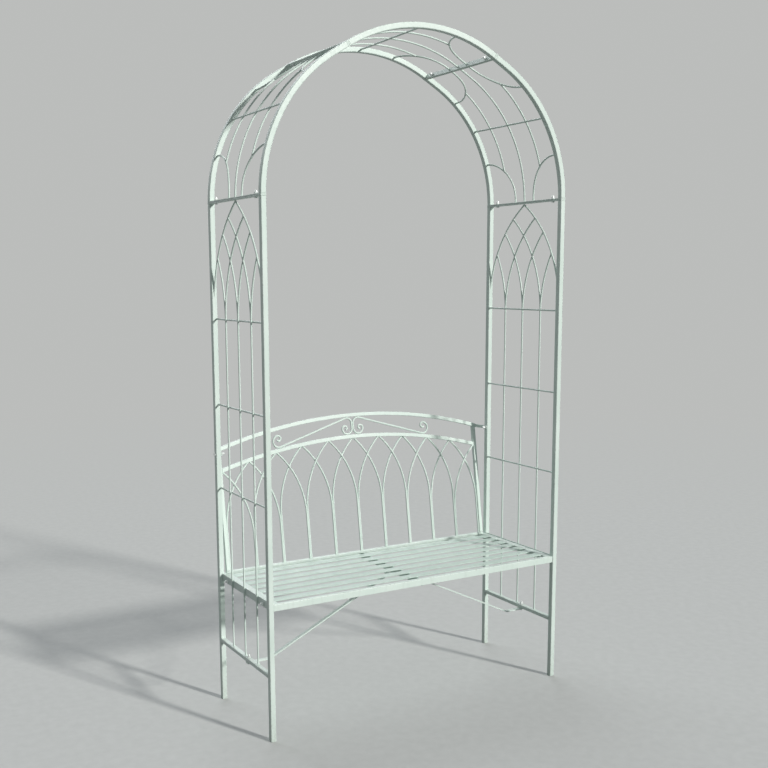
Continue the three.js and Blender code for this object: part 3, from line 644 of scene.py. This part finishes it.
def lattice_curve(mesh, start, direction, side):
    """A rod that leaves a flange beside the middle one and sweeps out to a tube."""
    points = [arch_point(start, side * LATTICE_FOOT)]
    for angle in bend_stages(LATTICE_RADIUS, QUARTER):
        distance = start + direction * (LATTICE_LEAD + LATTICE_RADIUS * math.sin(angle))
        row = LATTICE_FOOT + LATTICE_RADIUS * (1 - math.cos(angle))
        points.append(arch_point(distance, side * row))
    rod(mesh, points)
    bead(mesh, points[-1], ALONG_Y, END_WELD)
    bead(mesh, points[0], arch_axes(start)[1], END_WELD)


def arch_lattice(mesh, begin, end):
    meet_turn = math.acos(1 - (UPRIGHT_PITCH - LATTICE_FOOT) / LATTICE_RADIUS)
    meet = LATTICE_LEAD + LATTICE_RADIUS * math.sin(meet_turn)
    middle = (begin + end) / 2
    for row in (-UPRIGHT_PITCH, 0, UPRIGHT_PITCH):
        inset = meet if row else 0
        marks = spaced(begin + inset, end - inset, ARC_PITCH)
        rod(mesh, [arch_point(mark, row) for mark in marks])
        for mark in (begin + inset, middle, end - inset):
            point, course, _ = arch_axes(mark)
            bead(mesh, point + ALONG_Y * row, course, CROSS_WELD, WELD_SIZE * 2)
    for _, side in SIDES:
        lattice_curve(mesh, begin, 1, side)
        lattice_curve(mesh, end, -1, side)
        bead(mesh, arch_point(middle, side * INSIDE_ROW), ALONG_Y, END_WELD)
    rod(mesh, [arch_point(middle, row * INSIDE_ROW) for _, row in ROWS])


def add_arch():
    for order, place in enumerate(("right", "crown", "left")):
        first = ARCH_JOINTS[order] + CLEARANCE / 2
        last = ARCH_JOINTS[order + 1] - CLEARANCE / 2
        for name, mark, side in (("first", first + FLANGE_THICKNESS / 2, 1),
                                 ("second", last - FLANGE_THICKNESS / 2, -1)):
            point, course, normal = arch_axes(mark)
            add(f"arch_{place}_{name}_flange", flange, point, normal, course, side)
        begin = first + FLANGE_THICKNESS + CLEARANCE
        end = last - FLANGE_THICKNESS - CLEARANCE
        for name, row in ROWS:
            add(f"arch_{place}_{name}_tube", arch_tube, begin, end, row)
        add(f"arch_{place}_lattice", arch_lattice, begin, end)


# Side panels


def post(mesh, side, row, height):
    foot = Vector((side * POST_REACH, row * POST_ROW, 0))
    straight_bar(mesh, tube(), foot, foot + ALONG_Z * height, ALONG_X, ALONG_Y)


def lower_rail(mesh, side):
    middle = Vector((side * POST_REACH, 0, LOWER_RAIL_TOP - LOWER_RAIL_TALL / 2))
    reach = ALONG_Y * INSIDE_ROW
    straight_bar(mesh, tube(LOWER_RAIL_TALL), middle - reach, middle + reach, ALONG_X, ALONG_Z)


def tracery_points(row, direction, spring, first_turn, last_turn):
    points = []
    for stage in bend_stages(TRACERY_RADIUS, last_turn - first_turn):
        turn = first_turn + stage
        across = row + direction * TRACERY_RADIUS * (1 - math.cos(turn))
        points.append(Vector((0, across, spring + TRACERY_RADIUS * math.sin(turn))))
    return points


def meeting_turn(row, direction):
    """How far an inner arc bends over until it meets the outer arc that it runs towards."""
    inner = Vector((direction * row + TRACERY_RADIUS, INNER_SPRING))
    outer = Vector((TRACERY_REACH - TRACERY_RADIUS, OUTER_SPRING))
    between = outer - inner
    bearing = math.atan2(between.y, between.x)
    return HALF - bearing + math.acos(between.length / 2 / TRACERY_RADIUS)


def grille(mesh, side):
    shift = ALONG_X * side * POST_REACH
    rows = [UPRIGHT_PITCH * (index - (UPRIGHT_COUNT - 1) / 2) for index in range(UPRIGHT_COUNT)]
    hidden = TRACERY_REACH - INSIDE_ROW - ROD_SIZE / 2
    face_turn = math.acos(1 - hidden / TRACERY_RADIUS)
    outer_turn = math.acos(1 - TRACERY_REACH / TRACERY_RADIUS)
    arcs = []
    for direction in (-1, 1):
        arcs.append(tracery_points(
            -direction * TRACERY_REACH, direction, OUTER_SPRING, face_turn, outer_turn))
        arcs += [tracery_points(
            row, direction, INNER_SPRING, 0, meeting_turn(row, direction)) for row in rows]
    for arc in arcs:
        points = [point + shift for point in arc]
        rod(mesh, points)
        bead(mesh, points[-1], ALONG_Z, CROSS_WELD)
    inward = shift - ALONG_X * side * (2 * ROD_REACH - ROD_LAP)
    heights = [CROSS_ROD_HEIGHT + CROSS_ROD_PITCH * index for index in range(CROSS_ROD_COUNT)]
    for height in heights:
        ends = [inward + ALONG_Y * row * INSIDE_ROW + ALONG_Z * height for _, row in ROWS]
        rod(mesh, ends)
        for end in ends:
            bead(mesh, end, ALONG_Y, END_WELD)
    for row in rows:
        stand = shift + ALONG_Y * row
        foot = stand + ALONG_Z * (LOWER_RAIL_TOP + CLEARANCE)
        rod(mesh, [foot, stand + ALONG_Z * INNER_SPRING])
        bead(mesh, foot, ALONG_Z, END_WELD)
        for height in heights:
            crossing = (shift + inward) / 2 + ALONG_Y * row + ALONG_Z * height
            bead(mesh, crossing, ALONG_X, CROSS_WELD)
    seat_bar(mesh, side)


def seat_bar(mesh, side):
    """The flat bar that the seat is bolted to."""
    top = SEAT_HEIGHT + SEAT_BAR_LIFT
    block_bar(mesh, (side * SEAT_BAR_INNER, -INSIDE_ROW, top - SEAT_BAR_TALL),
              (side * SEAT_BAR_OUTER, INSIDE_ROW, top))


def add_side_panels():
    height = FLANGE_UNDERSIDE - CLEARANCE
    for name, side in SIDES:
        for row_name, row in ROWS:
            add(f"{name}_{row_name}_post", post, side, row, height)
        centre = Vector((side * POST_REACH, 0, FLANGE_TOP - FLANGE_THICKNESS / 2))
        add(f"{name}_panel_flange", flange, centre, ALONG_X, ALONG_Z, -1)
        add(f"{name}_lower_rail", lower_rail, side)
        add(f"{name}_grille", grille, side)


# Seat


def angle_outline(foot, leg):
    """A folded angle with its heel at the origin, a foot along the first axis and a leg
    along the second."""
    inside = ANGLE_THICKNESS
    corners = [Vector(p) for p in (
        (0, 0), (foot, 0), (foot, inside), (inside, inside), (inside, leg), (0, leg))]
    return rounded(corners, [ANGLE_HEEL, *[BAR_CORNER] * (len(corners) - 1)])


def seat_rail(mesh, row):
    """The folded rail in front of the slats, or behind them."""
    outline = angle_outline(RAIL_DEPTH, RAIL_TALL)
    heel = Vector((0, row * RAIL_FACE, SEAT_HEIGHT))
    reach = ALONG_X * INSIDE_REACH
    straight_bar(mesh, [outline], heel - reach, heel + reach, -ALONG_Y * row, -ALONG_Z)


def end_rail(mesh, side):
    """The folded rail at an end of the slats. Only its top leg runs on between the posts."""
    outline = angle_outline(ANGLE_WIDTH, ANGLE_WIDTH)
    heel = Vector((side * END_RAIL_OUTER, 0, SEAT_HEIGHT))
    reach = ALONG_Y * INSIDE_ROW
    straight_bar(mesh, [outline], heel - reach, heel + reach, -ALONG_X * side, -ALONG_Z)
    for _, row in ROWS:
        block_bar(mesh, (side * INSIDE_REACH, row * INSIDE_ROW, SEAT_HEIGHT - ANGLE_THICKNESS),
                  (side * (END_RAIL_OUTER - ANGLE_WIDTH), row * (RAIL_BACK - CLEARANCE),
                   SEAT_HEIGHT))


def slat_deck(mesh):
    gap = (2 * RAIL_BACK - SLAT_COUNT * SLAT_WIDTH) / (SLAT_COUNT + 1)
    for index in range(SLAT_COUNT):
        row = (SLAT_WIDTH + gap) * (index - (SLAT_COUNT - 1) / 2)
        block_bar(mesh, (-SLAT_END, row - SLAT_WIDTH / 2, SLAT_UNDERSIDE),
                  (SLAT_END, row + SLAT_WIDTH / 2, SEAT_HEIGHT))
        for _, side in SIDES:
            bead(mesh, Vector((side * BEARER_THICKNESS / 2, row, SLAT_UNDERSIDE)), ALONG_Y,
                 WELD_SIZE, SLAT_WELD_REACH)
    web = BEARER_THICKNESS / 2
    reach = RAIL_BACK - CLEARANCE
    block_bar(mesh, (-web, -reach, BEARER_UNDERSIDE), (web, reach, SLAT_UNDERSIDE + ROD_LAP))
    long_reach = RAIL_FACE - ANGLE_THICKNESS - CLEARANCE
    rail_underside = SEAT_HEIGHT - ANGLE_THICKNESS - CLEARANCE
    for _, row in ROWS:
        block_bar(mesh, (-web, row * reach, BEARER_UNDERSIDE),
                  (web, row * long_reach, rail_underside))
    block_bar(mesh, (-BEARER_FOOT_WIDTH / 2, BRACE_OFFSET - BEARER_FOOT_DEPTH / 2,
                     BEARER_UNDERSIDE),
              (BEARER_FOOT_WIDTH / 2, BRACE_OFFSET + BEARER_FOOT_DEPTH / 2,
               BEARER_UNDERSIDE + BEARER_THICKNESS))


def brace(mesh, side):
    foot = LOWER_RAIL_TOP - LOWER_RAIL_TALL - CLEARANCE - BRACE_THICKNESS / 2
    head = BEARER_UNDERSIDE - CLEARANCE - BRACE_THICKNESS / 2
    corners = [Vector(p) for p in (
        (side * (POST_REACH + TUBE_SIZE / 2), foot), (side * BRACE_BEND_REACH, foot),
        (side * BRACE_HEAD_REACH, head), (side * BRACE_HEAD_GAP, head))]
    outline = box_outline(BRACE_WIDTH, BRACE_THICKNESS, BAR_CORNER)
    bent_strip(mesh, corners, BRACE_BEND_RADIUS, outline, ALONG_Y,
               lambda point: Vector((point.x, BRACE_OFFSET, point.y)))


def add_seat():
    add("seat_front_rail", seat_rail, -1)
    add("seat_rear_rail", seat_rail, 1)
    # The slats wear the frame's paint in darker colours, which paint shade on the seat's top
    add("seat_slats", slat_deck, material=slat_paint, slot="slat_paint")
    for name, side in SIDES:
        add(f"seat_{name}_end_rail", end_rail, side)
        add(f"{name}_brace", brace, side)


# Backrest, drawn upright in X and Z with the foot of its lean at the origin


def leaning(across, row, height):
    return LEANING @ Vector((across, row, height))


class BowedRail:
    """A rail that is bowed upwards, from its height at the end posts and its rise in the
    middle."""

    def __init__(self, end, rise):
        self.radius = (BACK_POST_REACH ** 2 + rise ** 2) / (2 * rise)
        self.centre = end + rise - self.radius

    def height_at(self, across, offset):
        return self.centre + math.sqrt((self.radius + offset) ** 2 - across ** 2)

    def slope_at(self, across):
        return math.asin(across / self.radius)

    def column(self, across):
        """A place across the rail, upright as its cut ends are."""
        return lambda u, v: leaning(across, u, self.height_at(across, v))

    def build(self, mesh, reach):
        outline = box_outline(BACK_RAIL_SIZE, BACK_RAIL_SIZE, BACK_RAIL_CORNER)
        places = [self.column(mark) for mark in spaced(-reach, reach, ARCH_PITCH)]
        loft(mesh, [outline], places)


TOP_RAIL = BowedRail(TOP_RAIL_END, TOP_RAIL_RISE)
MIDDLE_RAIL = BowedRail(MIDDLE_RAIL_END, MIDDLE_RAIL_RISE)


def leaning_foot(thickness):
    """The lowest height of a leaning piece that keeps clear of the bottom rail."""
    drop = thickness / 2 * math.sin(BACKREST_LEAN)
    return (BOTTOM_RAIL_TALL / 2 + CLEARANCE + drop) / math.cos(BACKREST_LEAN)


def back_post(mesh, side):
    outline = box_outline(BACK_RAIL_SIZE, BACK_RAIL_SIZE, BACK_RAIL_CORNER)
    across = side * BACK_POST_REACH
    foot = leaning(across, 0, leaning_foot(BACK_RAIL_SIZE))
    head = leaning(across, 0, TOP_RAIL_END - BACK_RAIL_SIZE / 2 + OVERRUN)
    straight_bar(mesh, [outline], foot, head, ALONG_X, (head - foot).normalized().cross(ALONG_X))


def arcade_points(start, target, layer):
    """A rod stands beside its station and bends over to end above the neighbouring station.
    On its way to the first crossing it also leans to the front or the back."""
    direction = math.copysign(1, target - start)
    turn = math.acos(1 - abs(target - start) / ARCADE_RADIUS)
    peak = MIDDLE_RAIL.height_at(target, -BACK_RAIL_SIZE / 2) + OVERRUN
    spring = peak - ARCADE_RADIUS * math.sin(turn)
    crossing_turn = math.acos(1 - BAY_WIDTH / 2 / ARCADE_RADIUS)
    aside = layer * (ARCADE_ROD_SIZE / 2 * FLAT_SHARE - ROD_LAP / 2)
    points = [leaning(start, 0, leaning_foot(ARCADE_ROD_SIZE))]
    for angle in bend_stages(ARCADE_RADIUS, turn):
        points.append(leaning(
            start + direction * ARCADE_RADIUS * (1 - math.cos(angle)),
            aside * min(1, angle / crossing_turn), spring + ARCADE_RADIUS * math.sin(angle)))
    return points


def backrest_grille(mesh):
    rod_flat = ARCADE_ROD_SIZE / 2 * FLAT_SHARE
    stations = [BAY_WIDTH * (index - BAY_COUNT / 2) for index in range(BAY_COUNT + 1)]
    for index, station in enumerate(stations):
        for direction in (-1, 1):
            neighbour = index + direction
            if not 0 <= neighbour <= BAY_COUNT:
                continue
            start = station + direction * (rod_flat - ROD_LAP / 2)
            if index in (0, BAY_COUNT):
                start = -direction * (BACK_POST_REACH - BACK_RAIL_SIZE / 2 - CLEARANCE - rod_flat)
            layer = 1 if neighbour % 2 else -1
            points = arcade_points(start, stations[neighbour], layer)
            rod(mesh, points, ARCADE_ROD_SIZE)
            bead(mesh, points[0], ALONG_Z, ARCADE_ROD_SIZE * WELD_SPREAD_SHARE)
            bead(mesh, points[-1], ALONG_X, ARCADE_ROD_SIZE * WELD_CROSS_SHARE,
                 ARCADE_ROD_SIZE * WELD_SPREAD_SHARE)


def scroll(mesh, side):
    """An S: a straight rod that is tangent to both curls, which wind inwards. The taller
    inner curl fills the space between the rails."""
    rest = CLEARANCE + SCROLL_ROD_SIZE / 2
    rail_half = BACK_RAIL_SIZE / 2
    outer_rise = (OUTER_CURL_RADIUS + rest) / math.cos(MIDDLE_RAIL.slope_at(OUTER_CURL_REACH))
    outer = Vector((
        OUTER_CURL_REACH, MIDDLE_RAIL.height_at(OUTER_CURL_REACH, rail_half) + outer_rise))
    inner_reach = (CLEARANCE + SCROLL_ROD_SIZE) / 2 + INNER_CURL_RADIUS
    ceiling = TOP_RAIL.height_at(inner_reach, -rail_half) - rest
    floor = MIDDLE_RAIL.height_at(inner_reach, rail_half) + rest
    inner = Vector((inner_reach, ceiling - INNER_CURL_RADIUS))
    between = inner - outer
    lean = math.asin((OUTER_CURL_RADIUS + INNER_CURL_RADIUS) / between.length)
    heading = math.atan2(between.y, between.x) % FULL - lean
    normal = Vector((-math.sin(heading), math.cos(heading)))
    outer_touch = outer + normal * OUTER_CURL_RADIUS
    inner_touch = inner - normal * INNER_CURL_RADIUS
    down_turn = 3 * QUARTER - heading
    inner_path = WalkedPath(*inner_touch, heading, (
        (INNER_CURL_RADIUS * down_turn, down_turn),
        (ceiling - floor - 2 * INNER_CURL_RADIUS, 0), *winding(INNER_CURL_RADIUS)))
    outer_path = WalkedPath(*outer_touch, heading + HALF, winding(OUTER_CURL_RADIUS))
    line = walked_points(outer_path)[::-1] + walked_points(inner_path)
    rod(mesh, [leaning(side * across, 0, up) for across, up in line], SCROLL_ROD_SIZE)


def winding(radius):
    return [(radius * share * QUARTER, QUARTER) for share in CURL_SHARES]


def walked_points(path):
    marks = stages(path.length, math.ceil(path.length / SCROLL_PITCH))
    return [path.at(mark)[:2] for mark in marks]


def bottom_rail(mesh):
    reach, half = BACK_POST_REACH + BACK_RAIL_SIZE / 2, BACK_RAIL_SIZE / 2
    low = SEAT_HEIGHT + CLEARANCE
    block_bar(mesh, (-reach, BACKREST_ROW - half, low),
              (reach, BACKREST_ROW + half, low + BOTTOM_RAIL_TALL), BACK_RAIL_CORNER)


def bracket(mesh, side):
    """A flat bar on edge, from the inner face of a rear post to the outer face of the
    backrest post."""
    half = BRACKET_THICKNESS / 2
    post_face = INSIDE_REACH - half
    back_face = BACK_POST_REACH + BACK_RAIL_SIZE / 2 + CLEARANCE + half
    back_row = BACKREST_ROW + (BRACKET_HEIGHT - BACKREST_FOOT) * math.tan(BACKREST_LEAN)
    bend_row = back_row - BRACKET_TAIL / 2
    corners = [Vector(p) for p in (
        (side * post_face, POST_ROW - TUBE_SIZE / 2), (side * post_face, POST_ROW + TUBE_SIZE / 2),
        (side * back_face, bend_row), (side * back_face, bend_row + BRACKET_TAIL))]
    outline = box_outline(BRACKET_TALL, BRACKET_THICKNESS, BAR_CORNER)
    bent_strip(mesh, corners, BRACKET_BEND_RADIUS, outline, ALONG_Z,
               lambda point: Vector((point.x, point.y, BRACKET_HEIGHT)))


def add_backrest():
    rail_half = BACK_RAIL_SIZE / 2
    add("backrest_top_rail", TOP_RAIL.build, BACK_POST_REACH + rail_half)
    add("backrest_middle_rail", MIDDLE_RAIL.build, BACK_POST_REACH - rail_half - CLEARANCE)
    add("backrest_grille", backrest_grille)
    add("backrest_bottom_rail", bottom_rail)
    for name, side in SIDES:
        add(f"backrest_{name}_post", back_post, side)
        add(f"backrest_{name}_scroll", scroll, side)
        add(f"{name}_backrest_bracket", bracket, side)


# Bolts


def hexagon(angle):
    """The radius of a nut or head at an angle, and how far its bevel has dropped there."""
    facet = FULL / HEX_SIDES
    radius = HEX_ACROSS / 2 / math.cos(angle % facet - facet / 2)
    return radius, (radius - BEVEL_RADIUS) * math.tan(HEX_BEVEL)


def bolt(mesh, start, direction, stack):
    """A bolt whose head bears on the start of a stack and whose cap nut bears on its end."""
    grip = stack + 2 * CLEARANCE
    origin = start - direction * CLEARANCE
    dome = [(DOME_DIAMETER / 2 * math.cos(turn), grip + NUT_TALL + DOME_TALL * math.sin(turn))
            for turn in stages(QUARTER, DOME_STEPS)[:-1]]

    def head_profile(angle):
        radius, drop = hexagon(angle)
        return [(0, -HEAD_TALL), (BEVEL_RADIUS, -HEAD_TALL), (radius, drop - HEAD_TALL),
                (radius, 0), (0, 0)]

    def nut_profile(angle):
        radius, drop = hexagon(angle)
        return [(0, grip), (BEVEL_RADIUS, grip), (radius, grip + drop),
                (radius, grip + NUT_TALL - drop), (BEVEL_RADIUS, grip + NUT_TALL), *dome,
                (0, grip + NUT_TALL + DOME_TALL)]

    def shank_profile(_):
        return [(0, -OVERRUN), (BOLT_DIAMETER / 2, -OVERRUN),
                (BOLT_DIAMETER / 2, grip + OVERRUN), (0, grip + OVERRUN)]

    for profile in (head_profile, nut_profile, shank_profile):
        turned_form(mesh, origin, direction, profile)


def add_bolt(node, start, direction, stack):
    add(node, bolt, Vector(start), direction, stack, material=plated, slot="fastener")


def add_bolts():
    flange_stack = 2 * FLANGE_THICKNESS + CLEARANCE
    end_stack = SEAT_BAR_OUTER - END_RAIL_OUTER + ANGLE_THICKNESS
    foot = LOWER_RAIL_TOP - LOWER_RAIL_TALL - CLEARANCE - BRACE_THICKNESS
    head = BEARER_UNDERSIDE - CLEARANCE - BRACE_THICKNESS
    bolt_height = SEAT_HEIGHT - SEAT_BOLT_DROP
    for name, side in SIDES:
        outward = ALONG_X * side
        joint = CROWN_START if side > 0 else ARCH_PATH.length - CROWN_START
        point, course, _ = arch_axes(joint)
        upward = course * side
        for place, row in ROWS:
            shift = ALONG_Y * row * FLANGE_BOLT_ROW
            add_bolt(f"arch_{name}_{place}_bolt", point + shift - upward * flange_stack / 2,
                     upward, flange_stack)
            add_bolt(f"{name}_panel_{place}_bolt",
                     (side * POST_REACH, row * FLANGE_BOLT_ROW, FLANGE_UNDERSIDE), ALONG_Z,
                     flange_stack)
            add_bolt(f"{name}_seat_{place}_bolt",
                     (side * (END_RAIL_OUTER - ANGLE_THICKNESS), row * SEAT_BOLT_ROW, bolt_height),
                     outward, end_stack)
        add_bolt(f"{name}_brace_foot_bolt", (side * POST_REACH, BRACE_OFFSET, foot), ALONG_Z,
                 LOWER_RAIL_TOP - foot)
        add_bolt(f"{name}_brace_head_bolt", (side * BRACE_BOLT_REACH, BRACE_OFFSET, head),
                 ALONG_Z, BRACE_THICKNESS + CLEARANCE + BEARER_THICKNESS)
        add_bolt(f"{name}_bracket_bolt",
                 (side * (POST_REACH + TUBE_SIZE / 2), POST_ROW, BRACKET_HEIGHT), -outward,
                 TUBE_SIZE + CLEARANCE + BRACKET_THICKNESS)


# Materials


class Shader:
    """The nodes of a material, or of the world."""

    def __init__(self, owner):
        self.owner = owner
        owner.use_nodes = True
        self.tree = owner.node_tree
        self.tree.nodes.clear()

    def add(self, kind, inputs=None, **settings):
        """A node with its settings made and its inputs set or linked."""
        node = self.tree.nodes.new(f"ShaderNode{kind}")
        for key, value in settings.items():
            setattr(node, key, value)
        for key, value in (inputs or {}).items():
            if isinstance(value, bpy.types.NodeSocket):
                self.tree.links.new(value, node.inputs[key])
            else:
                node.inputs[key].default_value = value
        return node

    def noise(self, where, form):
        scale, detail, roughness = form
        return self.add("TexNoise", {
            "Vector": where, "Scale": scale, "Detail": detail, "Roughness": roughness,
        }).outputs["Fac"]

    def stretched(self, where, stretch):
        return self.add("Mapping", {"Vector": where, "Scale": stretch}).outputs["Vector"]

    def upward(self, vector):
        return self.add("SeparateXYZ", {"Vector": vector}).outputs["Z"]

    def ranged(self, value, span, to=(0.0, 1.0)):
        return self.add("MapRange", {
            "Value": value, "From Min": span[0], "From Max": span[1], "To Min": to[0],
            "To Max": to[1],
        }).outputs["Result"]

    def times(self, first, second):
        return self.add("Math", {0: first, 1: second}, operation="MULTIPLY").outputs[0]

    def larger(self, first, second):
        return self.add("Math", {0: first, 1: second}, operation="MAXIMUM").outputs[0]

    def mixed(self, factor, first, second):
        """A blend of two colours, which a Mix node takes at 6 and 7 and gives at 2."""
        return self.add("Mix", {0: factor, 6: first, 7: second}, data_type="RGBA").outputs[2]

    def covered(self, tone, cover, noise, layer, where=None):
        """A tone with a cover in the patches of a noise, or in what a mask leaves of them."""
        *span, share = layer
        mask = self.ranged(noise, span)
        if where is not None:
            mask = self.times(where, mask)
        return self.mixed(self.times(mask, share), tone, cover)

    def bump(self, height, form, **under):
        strength, distance = form
        return self.add("Bump", {
            "Strength": strength, "Distance": distance, "Height": height, **under,
        }).outputs["Normal"]

    def surface(self, shader, output="OutputMaterial"):
        self.add(output, {"Surface": shader})
        return self.owner


def painted(name, tint, shade, stretch, rough):
    """Satin paint on steel: cloudy, finely mottled and streaked by rain, soiled near the
    ground, dusty on top and rubbed at the edges, with the faint dimples of a sprayed coat."""
    shader = Shader(bpy.data.materials.new(name))
    place = shader.add("TexCoord").outputs["Object"]
    mottle = shader.noise(shader.stretched(place, stretch), MOTTLE)
    specks = shader.noise(place, SPECKS)
    tone = shader.mixed(shader.ranged(shader.noise(place, CLOUDS), CLOUD_RANGE), tint, shade)
    tone = shader.covered(tone, shade, mottle, MOTTLE_LAYER)
    low_down = shader.ranged(shader.upward(place), SOIL_HEIGHTS)
    tone = shader.covered(tone, SOIL, mottle, SOIL_LAYER, low_down)
    runs = shader.noise(shader.stretched(place, DOWNWARDS), RUNS)
    tone = shader.covered(tone, RUN, runs, RUN_LAYER)
    normal = shader.add("NewGeometry").outputs["Normal"]
    on_top = shader.ranged(shader.upward(normal), DUST_FACING)
    tone = shader.covered(tone, DUST, mottle, DUST_LAYER, on_top)
    tone = shader.covered(tone, CHIP, specks, CHIP_LAYER)
    edge = shader.add("Attribute", attribute_name=EDGE_MARK).outputs["Fac"]
    at_edge = shader.ranged(edge, RUBBED_EDGE)
    tone = shader.covered(tone, CHIP, mottle, RUBBED_LAYER, at_edge)
    gloss = shader.ranged(mottle, GLOSS_RANGE, (rough - GLOSS_SMOOTHER, rough + GLOSS_ROUGHER))
    waves = shader.bump(mottle, WAVES)
    return shader.surface(shader.add("BsdfPrincipled", {
        "Base Color": tone, "Roughness": gloss, "IOR": PAINT_IOR,
        "Coat Weight": COAT_WEIGHT, "Coat Roughness": COAT_ROUGHNESS,
        "Normal": shader.bump(specks, DIMPLES, Normal=waves),
    }).outputs["BSDF"])


def plated_steel():
    """Zinc-plated steel, slightly cloudy, with fine marks."""
    shader = Shader(bpy.data.materials.new("plated_steel"))
    place = shader.add("TexCoord").outputs["Object"]
    clouds = shader.noise(place, ZINC_CLOUDS)
    tone = shader.mixed(shader.ranged(clouds, ZINC_RANGE), BRIGHT_ZINC, DULL_ZINC)
    return shader.surface(shader.add("BsdfPrincipled", {
        "Base Color": tone, "Roughness": shader.ranged(clouds, GLOSS_RANGE, ZINC_ROUGHNESS),
        "Metallic": ZINC_METALLIC,
        "Normal": shader.bump(shader.noise(place, ZINC_MARKS), ZINC_RELIEF),
    }).outputs["BSDF"])


frame_paint = painted("frame_paint", FRAME_TINT, FRAME_SHADE, EVEN, FRAME_ROUGHNESS)
# The same paint as the frame's, in darker colours that paint shade on the seat's top
slat_paint = painted("slat_paint", SLAT_TINT_WITH_PAINTED_SHADE, SLAT_DARK_TONE_WITH_PAINTED_SHADE, LONGWAYS, SLAT_ROUGHNESS)
plated = plated_steel()

add_arch()
add_side_panels()
add_seat()
add_backrest()
add_bolts()


# Floor, light and camera


def add_floor():
    mesh = bmesh.new()
    bmesh.ops.create_circle(mesh, cap_ends=True, radius=FLOOR_REACH, segments=FLOOR_SIDES)
    shader = Shader(bpy.data.materials.new("floor"))
    place = shader.add("TexCoord").outputs["Object"]
    grain = shader.ranged(shader.noise(place, FLOOR_GRAIN), FLOOR_RANGE)
    seen = seen_directly(shader)
    tone = shader.mixed(seen, FLOOR_BOUNCE, shader.mixed(grain, FLOOR_TINT, FLOOR_SHADE))
    matt = shader.add("BsdfDiffuse", {"Color": tone})
    glow = shader.add("Emission", {"Color": BACKGROUND})
    distance = shader.add("VectorMath", {0: place}, operation="LENGTH").outputs["Value"]
    faded = shader.add("MixShader", {
        0: shader.times(shader.ranged(distance, FLOOR_FADE), seen), 1: matt.outputs["BSDF"],
        2: glow.outputs["Emission"],
    })
    floor = solid("floor", mesh, shader.surface(faded.outputs["Shader"]))


def seen_directly(shader):
    """One for rays from the camera and for those that gloss or glass sends on, else zero."""
    path = shader.add("LightPath").outputs
    glossy = shader.larger(path["Is Camera Ray"], path["Is Glossy Ray"])
    return shader.larger(glossy, path["Is Transmission Ray"])


def add_world():
    shader = Shader(bpy.data.worlds.new("studio"))
    light = shader.add("Background", {"Color": WORLD_TINT, "Strength": WORLD_LIGHT})
    backdrop = shader.add("Background", {"Color": BACKGROUND})
    mixed = shader.add("MixShader", {
        0: seen_directly(shader), 1: light.outputs[0], 2: backdrop.outputs[0],
    })
    bpy.context.scene.world = shader.surface(mixed.outputs[0], "OutputWorld")


def add_lamp(name, place, spread, strength, tint):
    """A soft distant lamp that shines from a place towards the origin."""
    light = bpy.data.lights.new(name, "SUN")
    light.angle = math.radians(spread)
    light.energy = strength
    light.color = tint
    lamp = placed(name, light)
    lamp.location = place
    lamp.rotation_euler = Vector(place).to_track_quat("Z", "Y").to_euler()


def add_camera():
    ahead = Vector((math.sin(CAMERA_YAW) * math.cos(CAMERA_PITCH),
                    math.cos(CAMERA_YAW) * math.cos(CAMERA_PITCH), math.sin(CAMERA_PITCH)))
    right = Vector((math.cos(CAMERA_YAW), -math.sin(CAMERA_YAW), 0))
    up = right.cross(ahead)
    cos_roll, sin_roll = math.cos(CAMERA_ROLL), math.sin(CAMERA_ROLL)
    axes = Matrix((right * cos_roll + up * sin_roll, up * cos_roll - right * sin_roll, -ahead))
    data = bpy.data.cameras.new("camera")
    data.lens = CAMERA_LENS
    data.shift_x, data.shift_y = CAMERA_SHIFT
    camera = placed("camera", data)
    camera.matrix_world = Matrix.Translation(CAMERA_PLACE) @ axes.transposed().to_4x4()
    bpy.context.scene.camera = camera


add_floor()
add_world()
for lamp in LAMPS:
    add_lamp(*lamp)
add_camera()
bpy.context.scene.view_settings.view_transform = "Standard"
